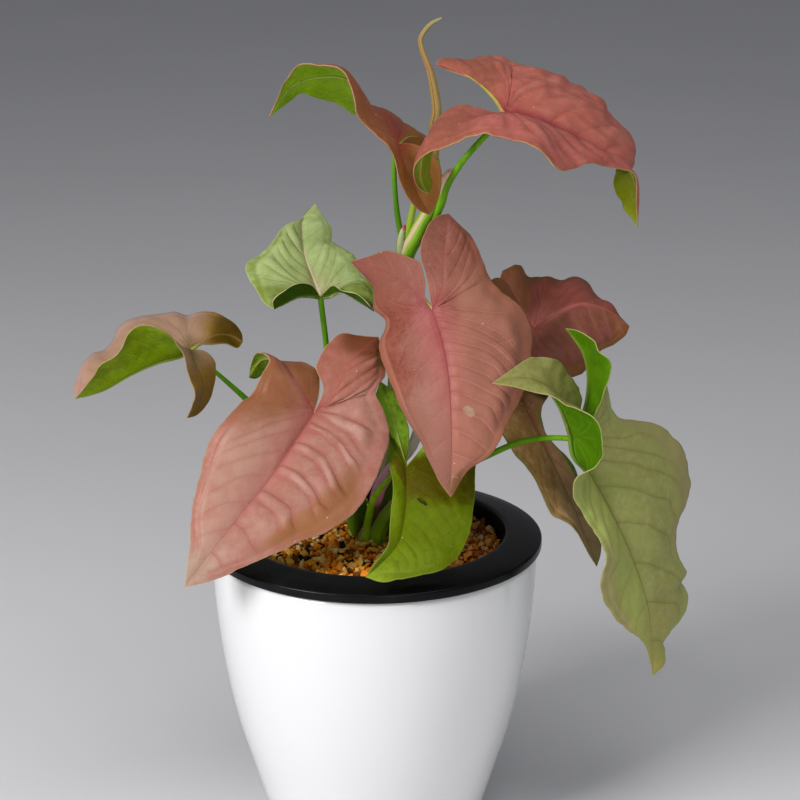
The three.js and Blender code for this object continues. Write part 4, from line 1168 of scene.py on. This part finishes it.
RELIEFS = {
    "front_left": (
        half_relief(PAIRED_VEINS, lean=0.26, bend=1.2, until=0.60, sharp=0.5, quilt=2.3, roll=0.4,
                    crumple=0.9, lines=0.7, in_lobe=0.9),
        half_relief(lean=0.28, closing=0.58, quilt=0.2, roll=2.6, crease=0.9, crumple=0.6, lines=0.35),
    ),
    "centre": (
        half_relief(CLOSE_VEINS, lean=0.36, bend=1.2, until=0.70, sharp=0.5, quilt=1.8, roll=0.1,
                    crease=0.1, crumple=0.9, lines=0.7, in_lobe=0.35),
        half_relief(quilt=0.22, roll=1.6, crease=0.6, lines=0.15),
    ),
    "top_right": (
        half_relief(lean=0.34, until=0.8, quilt=1.0, roll=0.6, crumple=1.6, lines=0.35, nibble=1.2),
        half_relief(lean=0.30, quilt=0.8, roll=0.4, crumple=1.2, lines=0.35, nibble=0.6),
    ),
    "back_left": (half_relief(quilt=0.8, crumple=0.8), half_relief(quilt=0.7, crumple=0.8)),
    "far_left": (half_relief(quilt=0.2, crumple=0.9, lines=0.3), half_relief(quilt=0.3, lines=0.3)),
    "low_front": (
        half_relief(LOW_VEINS, lean=0.34, quilt=0.5, until=0.95, crease=0.1, crumple=0.7, lines=0.2),
        half_relief(quilt=0.05, roll=0.1, crease=0.05, crumple=0.3, lines=0.3),
    ),
    "right_drooping": (
        half_relief(quilt=0.7, crumple=1.1, nibble=0.6),
        half_relief(quilt=0.4, crumple=0.7, lobe_crumple=1.8, lines=0.3, nibble=0.7),
    ),
    "top_left": (half_relief(quilt=0.5, crumple=1.0), half_relief(quilt=0.4, crumple=1.0)),
    "back_right": (
        half_relief(quilt=0.4, crumple=0.9, lines=0.25, nibble=0.7),
        half_relief(quilt=0.4, crumple=0.9, lines=0.25, nibble=0.5),
    ),
    "low_right": (half_relief(quilt=0.2, lines=0.3), half_relief(quilt=0.2, lines=0.3)),
}
PATCH_PLACES = {
    "front_left": [
        (0, "right", -0.16, 0.72, 0.34, 0.66), (0, "right_inner", -0.24, 0.50, 0.30, 0.80),
        (1, "left", -0.88, 0.40, 0.28, 0.80), (1, "left_inner", -0.88, 0.50, 0.28, 0.80),
        (2, "left", -0.60, 0.95, 0.22, 0.25), (2, "left", 0.50, 0.80, 0.24, 0.22),
    ],
    "centre": [
        (0, "left", 0.549, 0.205, 0.016, 0.06), (0, "left", 0.565, 0.25, 0.017, 0.07),
        (0, "left", 0.581, 0.295, 0.016, 0.06),
        (1, "right", 0.72, 0.45, 0.40, 0.95), (2, "left", 0.98, 0.50, 0.14, 0.60),
    ],
    "low_front": [
        (0, "left", 0.260, 0.205, 0.018, 0.060), (0, "left", 0.276, 0.250, 0.018, 0.060),
        (0, "left", 0.288, 0.290, 0.014, 0.04),
        (1, "left", 0.04, 0.30, 0.26, 1.0), (1, "right", 0.12, 0.30, 0.10, 0.60),
        (2, "right", -0.15, 0.45, 0.16, 0.60),
    ],
    "low_right": [(0, "left", 0.30, 0.85, 0.35, 0.25)],
    "far_left": [(0, "right", -0.75, 0.50, 0.40, 1.0), (0, "right_inner", -0.75, 0.50, 0.40, 1.0)],
    "right_drooping": [
        (0, "left", 0.30, 0.98, 0.40, 0.26), (0, "right", 0.60, 0.95, 0.24, 0.32),
    ],
}
THIN_RIB = 0.95  # mm, the midrib's radius at the joint of a small leaf
RIB_RADII = {"front_left": 1.2, "centre": 1.2, "top_right": 1.2, "right_drooping": 1.1}
print("leaves with patches:", len(PATCH_PLACES))

# %% Ten leaves
for name, own in LOOKS.items():
    # The painted highlight on the tops of the pleats takes the leaf's mottle tone unless it has its own.
    look = {**USUAL, "crest": own["mottle"], **own}
    skins = [leaf_skin(name, look), leaf_underside(name, look), leaf_edge(name, look)]
    make_blade(name, RELIEFS[name], PATCH_PLACES.get(name, ()), SLOTS[name], skins)
    make_ribs(name, RIB_RADII.get(name, THIN_RIB), SLOTS[name], rib_skin(name, look))
print("leaves:", len(LOOKS))

# %% [markdown]
# ## Stalks and the climbing stem
# Eight stalks leave the crown in the granules and two the climbing stem, the thick one in their middle.
# Each carries one leaf. Each is a grid wrapped round a line whose points also give its radius. The
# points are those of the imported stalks, and each stalk runs on to the joint of its blade.

# %% Lines of the stalks
STALKS = {
  "main": [[0, 7, 124, 4.6], [2, 6, 142, 4.6], [8, 6, 177, 4.3], [11, 5, 219, 4.2],
    [13, 3, 260, 4.0], [19, 2, 273, 3.7], [24, 2, 283, 3.1], [27, 2, 294, 2.6], [26, 1, 305, 2.3]],
  "front_left": [[-9, 9, 124, 2.6], [-10, 8, 142, 2.6], [-14, 6, 163, 2.2], [-20, -2, 184, 1.4]],
  "centre": [[-2, 2, 124, 2.8], [2, -6, 158, 3.0], [9, -8, 170, 2.8], [17, -9, 180, 2.4],
    [22, -9, 201, 1.9], [25, -11, 226, 1.5]],
  "top_right": [[25, 2, 277, 2.0], [29, 1, 286, 2.0], [31, 0, 293, 1.8], [38, -3, 305, 1.4],
    [48, -6, 317, 1.3]],
  "top_left": [[14, 4, 264, 1.6], [11, 2, 276, 1.3], [9, 0, 296, 1.1]],
  "back_left": [[-6, 12, 124, 2.4], [-6, 14, 146, 2.2], [-13, 18, 169, 1.7], [-20, 24, 195, 1.4],
    [-22, 26, 218, 1.3]],
  "far_left": [[-11, 8, 124, 2.2], [-11, 10, 147, 2.2], [-22, 12, 162, 1.7], [-40, 12, 177, 1.4],
    [-57, 10, 195, 1.3], [-70, 8, 208, 1.0]],
  "low_front": [[-5, -2, 124, 1.8], [-3, -7, 143, 1.7], [0, -14, 157, 1.5], [6, -22, 168, 1.3],
    [10, -28, 174, 1.2]],
  "right_drooping": [[1, 0, 124, 3.2], [3, -3, 141, 3.4], [13, -7, 154, 2.6], [29, -12, 166, 1.7],
    [47, -16, 176, 1.4], [64, -20, 185, 1.3], [77, -27, 189, 1.2]],
  "back_right": [[3, 9, 124, 2.4], [7, 8, 146, 2.4], [25, 12, 168, 1.9], [43, 16, 193, 1.5],
    [58, 20, 213, 1.3]],
  "low_right": [[3, 11, 124, 2.4], [4, 10, 140, 2.4], [20, 6, 163, 1.8], [43, 4, 185, 1.5],
    [56, 4, 194, 1.3]],
}
ROLLED_LEAF = [[26, 0, 312, 2.3], [26, -1, 320, 2.2], [27, -2, 326, 2.15], [26, -3, 335, 1.9],
  [24, -4, 344, 1.5], [21, -5, 352, 1.1], [20, -5, 357, 0.95], [22, -5, 361, 0.9],
  [25, -5, 364, 0.75], [29, -5, 366, 0.35]]
print("stalks:", len(STALKS))

# %% [markdown]
# ## The skin of the stalks
# A stalk changes its tone along its length. Most stay green, and the one of the middle leaf goes from
# dark green through pink and nearly white to a dull red. `round` is the share round the stalk, which the
# pale or reddish stripes follow.

# %% Stalk recipe
def stalk_skin(name, stops, stripes=()):
    """A stripe is its middle and half its width as shares round the stalk, where it starts and ends
    along it, and its colour."""
    skin = Finish("stalk_" + name, Specular_IOR_Level=0.15)
    along = skin.attribute("along")
    streaks = skin.noise(260, 3, (1, 1, 0.12))
    cloud = skin.noise(90, 2)
    place = along + (cloud - 0.5) * 0.1
    tone = skin.node("ShaderNodeValToRGB", {"stops": stops}, {"Fac": place})
    shade = skin.node("ShaderNodeMix", {"data_type": "RGBA", "blend_type": "MULTIPLY"},
                      {0: skin.step(streaks, 0.42, 0.68) * 0.55, 6: tone, 7: (0.55, 0.60, 0.45)}, output=2)
    for middle, width, start, end, colour in stripes:
        off = abs(skin.attribute("round") - middle + (cloud - 0.5) * 0.05)
        within = skin.step(along, start - 0.03, start) * skin.step(along, end + 0.03, end)
        shade = skin.mix(shade, colour, skin.step(off, width, width * 0.5) * within)
    rough = 0.32 + streaks * 0.25
    return skin.set(Base_Color=shade, Roughness=rough, Normal=skin.bump(streaks, 0.0004, 0.35))


DARK_STALK = [(0.0, (0.14, 0.32, 0.010)), (0.4, (0.08, 0.24, 0.004)), (1.0, (0.12, 0.32, 0.004))]
STALK_TONES = {
    "main": [(0.0, (0.12, 0.22, 0.02)), (0.5, (0.22, 0.46, 0.015)), (1.0, (0.24, 0.48, 0.015))],
    "front_left": [(0.0, (0.18, 0.34, 0.01)), (0.6, (0.12, 0.26, 0.01)), (1.0, (0.24, 0.14, 0.05))],
    "top_right": [(0.0, (0.17, 0.40, 0.008)), (0.4, (0.15, 0.38, 0.006)), (1.0, (0.15, 0.36, 0.005))],
    # The pink and nearly white stretch is partly the stalk's own colour and partly painted light: it is
    # made paler because it lies in the shade of the leaves above it.
    "centre": [(0.0, (0.10, 0.14, 0.015)), (0.20, (0.13, 0.10, 0.03)), (0.25, (0.92, 0.30, 0.55)),
               (0.36, (0.95, 0.48, 0.66)), (0.45, (0.95, 0.82, 0.76)), (0.62, (0.90, 0.74, 0.66)),
               (1.0, (0.40, 0.12, 0.10))],
    "low_front": [(0.0, (0.36, 0.66, 0.010)), (0.6, (0.36, 0.66, 0.010)), (1.0, (0.32, 0.46, 0.03))],
    "right_drooping": [(0.0, (0.30, 0.58, 0.01)), (0.4, (0.12, 0.32, 0.006)), (1.0, (0.15, 0.36, 0.006))],
}
STALK_STRIPES = {
    "main": [(0.645, 0.060, 0.0, 1.0, (0.60, 0.43, 0.29)), (0.71, 0.035, 0.0, 1.0, (0.30, 0.47, 0.06))],
    "right_drooping": [
        (0.56, 0.05, 0.0, 0.5, (0.44, 0.26, 0.17)), (0.72, 0.03, 0.0, 0.5, (0.62, 0.40, 0.26)),
    ],
    "front_left": [(0.93, 0.07, 0.0, 0.4, (0.26, 0.13, 0.06))],
    "low_front": [(0.50, 0.06, 0.0, 0.45, (0.30, 0.15, 0.08))],
}
print("stalks with tones of their own:", len(STALK_TONES))

# %% Stalks
STALK_SIDES = 20
STALK_RING = 1.2  # mm from ring to ring
JOINT_DROP = 0.8  # how far below the joint a stalk's line ends, as a share of its radius


def make_stalk(name, path, material):
    points, numbers = rounded_ends(*wrap(path, STALK_SIDES, STALK_RING))
    bm = bmesh.new()
    lay_grid(bm, points, numbers)
    bmesh.ops.remove_doubles(bm, verts=bm.verts, dist=0.002 * MM)
    bmesh.ops.recalc_face_normals(bm, faces=bm.faces)
    return finish_piece(bm, "stalk_" + name, "stems", "stalk_green", [material])


for name, path in STALKS.items():
    route = list(path)
    if name in BLADES:
        radius = path[-1][3]
        drop = joint_normal(BLADES[name], FORMS[name]["rows"]) * radius * JOINT_DROP
        route.append([*(np.array(BLADES[name]["joint"]) - drop), radius])
    skin = stalk_skin(name, STALK_TONES.get(name, DARK_STALK), STALK_STRIPES.get(name, ()))
    make_stalk(name, route, skin)

# %% [markdown]
# ## Sheaths
# The foot of a stalk clasps the stem with a thin wing, whose edge is dry and whose point has a tone of
# its own. Four such sheaths can be seen. Each is a sheet wrapped part of the way round a short line and
# drawn in towards its top. A slim green shoot stands beside the climbing stem.

# %% Sheaths and the slim shoot
SHEATHS = {
    "stem": {
        "path": [[11.8, 1.5, 261, 1.9], [11.6, 1.2, 268, 1.7], [12.3, 1.0, 273, 1.2],
                 [13.4, 1.2, 276.5, 0.5]],
        "turn": (0.48, 1.0), "body": (0.36, 0.42, 0.18), "dry": (0.16, 0.06, 0.03), "dry_side": 0.52,
        "point": (0.42, 0.06, 0.14),
    },
    "top_right": {
        "path": [[28.0, 0.8, 290, 1.7], [30.3, -0.2, 296.4, 1.6], [33.4, -1.8, 301.5, 0.9]],
        "turn": (0.33, 0.90), "body": (0.72, 0.46, 0.34), "dry": (0.60, 0.36, 0.27), "dry_side": 0.42,
        "point": (0.60, 0.22, 0.26),
    },
    "front_low": {
        "path": [[-6.0, -2.4, 127, 2.4], [-5.0, -3.8, 135, 2.3], [-3.4, -5.6, 141, 1.2]],
        "turn": (0.42, 0.72), "body": (0.24, 0.36, 0.03), "dry": (0.60, 0.34, 0.20), "dry_side": 0.70,
        "point": (0.50, 0.30, 0.17),
    },
    "crown": {
        "path": [[0.6, -1.4, 127, 3.9], [2.6, -3.4, 139, 4.0], [9.6, -6.6, 151, 3.1],
                 [16, -8.6, 156.5, 2.2]],
        "turn": (0.50, 0.80), "body": (0.28, 0.56, 0.01), "dry": (0.80, 0.50, 0.30), "dry_side": 0.54,
        "point": (0.28, 0.54, 0.02),
    },
}
SHEATH_SIDES = 14
SHEATH_RING = 0.8  # mm from ring to ring
SHEATH_WALL = 0.3  # mm


def sheath_skin(name, form):
    skin = Finish("sheath_" + name, Roughness=0.4)
    streaks = skin.noise(300, 3, (1, 1, 0.12))
    off = abs(skin.attribute("round") - form["dry_side"] + (skin.noise(180, 3) - 0.5) * 0.06)
    tone = skin.mix(form["body"], form["dry"], skin.step(streaks, 0.50, 0.75) * 0.3)
    tone = skin.mix(tone, form["dry"], skin.step(off, 0.065, 0.03))
    tone = skin.mix(tone, form["point"], skin.step(skin.attribute("along"), 0.80, 0.92))
    return skin.set(Base_Color=tone, Normal=skin.bump(streaks, 0.0004, 0.4))


def drawn_in(along, turn):
    """The sheath's radius as a share of its line's: less than half at the top, and whole below it."""
    return 1 - 0.55 * soft_step(along, 0.86, 1.0)


def add_wall(piece, thickness):
    """Gives a sheet a wall of so many mm, half on each side of it."""
    wall = piece.modifiers.new("thickness", "SOLIDIFY")
    wall.thickness = thickness * MM
    wall.offset = 0


for name, form in SHEATHS.items():
    sheet = bmesh.new()
    lay_grid(sheet, *wrap(form["path"], SHEATH_SIDES, SHEATH_RING, turn=form["turn"], flare=drawn_in))
    sheath = finish_piece(sheet, "sheath_" + name, "stems", "stalk_green", [sheath_skin(name, form)])
    add_wall(sheath, SHEATH_WALL)

SHOOT = [[13, 3, 260, 1.7], [14.5, 2, 272, 1.6], [16.3, 2, 280, 1.5], [18, 1, 288, 1.4],
         [20, 0, 296, 1.0]]
shoot_skin = stalk_skin("shoot", [(0.0, (0.26, 0.38, 0.03)), (1.0, (0.28, 0.40, 0.03))],
                        [(0.92, 0.07, 0.0, 1.0, (0.56, 0.36, 0.24))])
make_stalk("shoot", SHOOT, shoot_skin)

# %% [markdown]
# ## The rolled new leaf
# The newest leaf still stands as a tight scroll on top of the climbing stem. It is a sheet wound one and
# two thirds turns round a line. The second turn lies outside the first, so the section is a spiral, and
# the open edge climbs the whole length of the scroll.

# %% Rolled leaf
ROLL_TURNS = 1.68
ROLL_START = 0.72  # the spiral's innermost radius as a share of its outermost
ROLL_SIDES = 44
ROLL_RING = 0.7  # mm from ring to ring
ROLL_WALL = 0.3  # mm


def scroll(along, turn):
    """The spiral's radius as a share of the scroll's own."""
    return ROLL_START + (1 - ROLL_START) * np.clip(turn / ROLL_TURNS, 0, 1)


roll_path = [[26, 1, 304, 2.0], [26, 0, 308, 2.2], *ROLLED_LEAF]
roll = bmesh.new()
lay_grid(roll, *wrap(roll_path, ROLL_SIDES, ROLL_RING, turn=(0, ROLL_TURNS), flare=scroll))
roll_skin = Finish("rolled_leaf")
roll_streaks = roll_skin.noise(320, 3, (1, 1, 0.1))
roll_tone = roll_skin.node("ShaderNodeValToRGB", {"stops": [
    (0.0, (0.34, 0.24, 0.06)), (0.35, (0.34, 0.24, 0.07)), (0.75, (0.34, 0.24, 0.06)),
    (0.90, (0.32, 0.25, 0.08)), (0.97, (0.27, 0.31, 0.14))]}, {"Fac": roll_skin.attribute("along")})
roll_tone = roll_skin.mix(roll_tone, (0.45, 0.20, 0.12), roll_skin.step(roll_streaks, 0.5, 0.75) * 0.5)
open_edge = roll_skin.step(roll_skin.attribute("round"), ROLL_TURNS - 0.07, ROLL_TURNS - 0.02)
fold = roll_skin.step(abs(roll_skin.attribute("along") - 0.78), 0.08, 0.03)
roll_tone = roll_skin.mix(roll_tone, (0.42, 0.13, 0.06), open_edge * (0.35 + fold * 0.65))
roll_skin.set(Base_Color=roll_tone, Roughness=0.4 + roll_streaks * 0.2,
              Normal=roll_skin.bump(roll_streaks, 0.0004, 0.5))
rolled = finish_piece(roll, "rolled_leaf", "rolled_new_leaf", "leaf_rolled", [roll_skin.material])
add_wall(rolled, ROLL_WALL)

# %% [markdown]
# ## The pot
# The shell and the liner are round, so each is a profile that is spun once about the pot's axis. The
# profile is a wire of a few corners, and a vertex bevel rounds the corners that are round on a moulded
# pot.

# %% Spun pieces
SPIN_STEPS = 160


def spun(profile, rounds):
    """profile is a list of [radius, height] in mm, and rounds gives some corners a radius in mm."""
    bm = bmesh.new()
    corners = [bm.verts.new((radius * MM, 0, height * MM)) for radius, height in profile]
    for pair in zip(corners, corners[1:]):
        bm.edges.new(pair)
    for index, radius in rounds.items():
        bmesh.ops.bevel(bm, geom=[corners[index]], offset=radius * MM, offset_type="OFFSET", segments=5,
                        profile=0.5, affect="VERTICES", material=-1)
    bmesh.ops.spin(bm, geom=bm.verts[:] + bm.edges[:], axis=(0, 0, 1), cent=(0, 0, 0),
                   angle=2 * math.pi, steps=SPIN_STEPS, use_merge=True)
    bmesh.ops.remove_doubles(bm, verts=bm.verts, dist=0.01 * MM)
    bmesh.ops.recalc_face_normals(bm, faces=bm.faces)
    return bm


for node in ("pot_shell", "pot_liner"):
    low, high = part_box(node)
    print(node, "from", round(low[2] / MM, 1), "to", round(high[2] / MM, 1))

# %% Shell
SHELL_FOOT = [(44.5, 0), (47.5, 1.5)]  # radius and height
SHELL_SIDE = [(49.5, 6), (55.6, 26), (62.7, 50), (68.3, 78), (71.7, 106), (73, 131)]
SHELL_WALL = 2.5
SHELL_FLOOR = 3
SHELL_FLOOR_RADIUS = SHELL_SIDE[0][0] - 1.5 * SHELL_WALL
FOOT_ROUNDING = 1.2
SIDE_RINGS = 40

side_line = Line([(radius, 0, height) for radius, height in SHELL_SIDE])
side = [(x, z) for x, _, z in side_line.at(np.linspace(0, 1, SIDE_RINGS))]
outside = [(0, 0), *SHELL_FOOT, *side]
inside = [(radius - SHELL_WALL, height) for radius, height in reversed(side)]
shell_profile = [*outside, *inside, (SHELL_FLOOR_RADIUS, SHELL_FLOOR), (0, SHELL_FLOOR)]
shell = spun(shell_profile, {1: FOOT_ROUNDING})
gloss = Finish("white_gloss", Coat_Weight=0.3, Coat_Roughness=0.05)
speck = gloss.noise(900, 2)
haze = gloss.noise(22, 3)
white = gloss.mix((0.86, 0.86, 0.87), (0.90, 0.90, 0.91), haze)
scuffs = gloss.step(gloss.noise(40, 5, (1, 1, 6)), 0.62, 0.72)
gloss.set(Base_Color=white, Roughness=0.14 + haze * 0.05 + scuffs * 0.06,
          Normal=gloss.bump(speck, 0.00005, 0.2))
finish_piece(shell, "shell", "pot_shell", "pot_white", [gloss.material])

# %% Liner
RIM_RADIUS = 75
MOUTH_RADIUS = 58
liner_profile = [
    (0, 36), (46, 36), (60, 131.3), (RIM_RADIUS, 131.3), (RIM_RADIUS, 135.3), (69, 136.8),
    (63, 137.73), (60, 138), (58.6, 137.5), (MOUTH_RADIUS, 134), (44, 38), (0, 38),
]
liner = spun(liner_profile, {1: 1.5, 3: 0.8, 4: 0.8, 5: 1.5, 6: 1.5, 7: 0.7, 8: 0.7})
satin = Finish("black_satin", Specular_IOR_Level=0.15)
dust = satin.noise(35, 5)
fine = satin.noise(1400, 2)
black = satin.mix((0.003, 0.003, 0.0035), (0.010, 0.010, 0.011), satin.step(dust, 0.45, 0.75))
satin.set(Base_Color=black, Roughness=0.20 + dust * 0.16, Normal=satin.bump(fine, 0.00005, 0.3))
finish_piece(liner, "liner", "pot_liner", "liner_black", [satin.material])

# %% [markdown]
# ## Clay granules
# The bowl is filled with expanded clay broken to a few millimetres: tan, orange, cream and nearly black
# bits, and those on the right are darkened with painted shade. A stone is the convex hull of thirteen
# points, so it has flat facets, about twenty of them. Eighteen such stones are made once and copied,
# turned and sized by a seeded random draw, in three layers over a bed painted near black as shade, which
# closes the view between them.

# %% Granules
GRANULE_LEVEL = 131.5
BOWL_RADIUS = 57.2
STONE_KINDS = 18
STONE_CORNERS = 13
STONE_SHAPE = np.array([1.15, 0.95, 0.8])
STONE_SPREAD = (0.60, 0.30)  # middle and spread of the logarithm of a stone's radius in mm
STONE_RADII = (0.9, 2.7)  # mm, about the smallest and the largest
STONE_LAYERS = ((2.7, 3.3), (0.8, 3.9), (-0.8, 5.0))  # depth below the level and spacing, in mm
ROW_SPACING = 0.87  # rows stand closer than the stones in them, as in a honeycomb
SCATTER = 0.8  # mm, how far a stone may lie from its place in the row
UPWARD_SCATTER = 1.3  # how much more it may lie above or below
CLEAR_OF_LINER = 1.2  # mm

random = np.random.default_rng(7)


def stone_kind(index):
    """One broken stone about 1 mm in radius, as a mesh."""
    stone = bmesh.new()
    for _ in range(STONE_CORNERS):
        direction = unit(random.normal(size=3))
        stone.verts.new(direction * STONE_SHAPE * random.uniform(0.8, 1.1) * MM)
    hull = bmesh.ops.convex_hull(stone, input=stone.verts)
    bmesh.ops.delete(stone, geom=hull["geom_interior"], context="VERTS")
    bmesh.ops.recalc_face_normals(stone, faces=stone.faces)
    mesh = bpy.data.meshes.new(f"stone_{index}")
    stone.verts.layers.float.new("tone")
    stone.to_mesh(mesh)
    stone.free()
    return mesh


def stone_places(level, spacing):
    """Jittered rows that cover the bowl at one level."""
    row_spacing = spacing * ROW_SPACING
    for row in range(int(2 * BOWL_RADIUS / row_spacing) + 1):
        y = -BOWL_RADIUS + row * row_spacing
        for column in range(int(2 * BOWL_RADIUS / spacing) + 2):
            x = -BOWL_RADIUS + (column + 0.5 * (row % 2)) * spacing
            shift = random.uniform(-SCATTER, SCATTER, 3) * (1, 1, UPWARD_SCATTER)
            if math.hypot(x + shift[0], y + shift[1]) < BOWL_RADIUS - CLEAR_OF_LINER:
                yield x + shift[0], y + shift[1], level + shift[2]


kinds = [stone_kind(index) for index in range(STONE_KINDS)]
grains = bmesh.new()
grains.verts.layers.float.new("tone")
count = 0
for depth, spacing in STONE_LAYERS:
    for x, y, z in stone_places(GRANULE_LEVEL - depth, spacing):
        copy = kinds[random.integers(STONE_KINDS)].copy()
        size = float(np.clip(random.lognormal(*STONE_SPREAD), *STONE_RADII))
        turn = Vector(random.normal(size=4)).normalized()
        spin = Matrix.Rotation(turn[3] * 6, 4, Vector(turn[:3]))
        copy.transform(Matrix.Translation(Vector((x, y, z)) * MM) @ spin @ Matrix.Scale(size, 4))
        shade = float(random.random())
        copy.attributes["tone"].data.foreach_set("value", [shade] * len(copy.vertices))
        grains.from_mesh(copy)
        bpy.data.meshes.remove(copy)
        count += 1
for kind in kinds:
    bpy.data.meshes.remove(kind)
print("stones:", count)

clay = Finish("clay", Specular_IOR_Level=0.2)
pores = clay.cells(1500)
dirt = clay.noise(700, 3)
clay_tone = clay.node("ShaderNodeValToRGB", {"steps": [
    (0.0, (0.95, 0.36, 0.02)), (0.24, (0.97, 0.52, 0.08)), (0.42, (0.66, 0.17, 0.006)),
    (0.52, (0.97, 0.64, 0.20)), (0.64, (0.14, 0.036, 0.004)), (0.72, (0.97, 0.76, 0.38)),
    (0.79, (0.012, 0.008, 0.005)), (0.86, (0.95, 0.30, 0.012))]}, {"Fac": clay.attribute("tone")})
clay_tone = clay.mix(clay_tone, (0.22, 0.05, 0.006), clay.step(dirt, 0.52, 0.78) * 0.30)
sideways = clay.node("ShaderNodeSeparateXYZ", None, {0: clay.place()}, output=0)
# Painted shade: the stones towards the right of the bowl are mixed towards a deep brown.
painted_shade_right = clay.step(sideways + (clay.noise(60, 2) - 0.5) * 0.02, 0.012, 0.034)
clay_tone = clay.mix(clay_tone, (0.14, 0.028, 0.001), painted_shade_right * 0.78)
clay.set(Base_Color=clay_tone, Roughness=0.55 + dirt * 0.2, Normal=clay.bump(pores + dirt, 0.0002, 0.5))


def finish_grains(bm, name, material):
    piece = finish_piece(bm, name, "granules", "granules", [material], merge=0.0001)
    for polygon in piece.data.polygons:
        polygon.use_smooth = False


finish_grains(grains, "stones", clay.material)

# %% Bed under the stones
BED_DEPTH = 3.2  # mm, from the granules' level to the bed's top
BED_FOOT = 38.3
BED_FOOT_RADIUS = 44.4
BED_TOP_RADIUS = 57.0

bed = bmesh.new()
bmesh.ops.create_circle(bed, cap_ends=True, segments=96, radius=BED_FOOT_RADIUS * MM)
bmesh.ops.translate(bed, verts=bed.verts, vec=(0, 0, BED_FOOT * MM))
bmesh.ops.reverse_faces(bed, faces=bed.faces)
walls = bmesh.ops.extrude_edge_only(bed, edges=bed.edges[:])
rim = [corner for corner in walls["geom"] if isinstance(corner, bmesh.types.BMVert)]
for corner in rim:
    corner.co.x *= BED_TOP_RADIUS / BED_FOOT_RADIUS
    corner.co.y *= BED_TOP_RADIUS / BED_FOOT_RADIUS
    corner.co.z = (GRANULE_LEVEL - BED_DEPTH) * MM
bmesh.ops.contextual_create(bed, geom=rim)
bmesh.ops.recalc_face_normals(bed, faces=bed.faces)
# Painted shade: the bed is painted near black, so the gaps between the stones look shaded.
gap_shade_finish = Finish("painted_gap_shade", Roughness=0.95)
gap_shade_tone = gap_shade_finish.mix((0.004, 0.002, 0.001), (0.015, 0.006, 0.003), gap_shade_finish.step(gap_shade_finish.cells(600), 0.2, 0.7))
gap_shade_finish.set(Base_Color=gap_shade_tone, Normal=gap_shade_finish.bump(gap_shade_finish.noise(900, 4), 0.0005, 0.8))
finish_grains(bed, "bed", gap_shade_finish.material)

# %% [markdown]
# ## Size
# The dressed plant keeps the imported model's size.
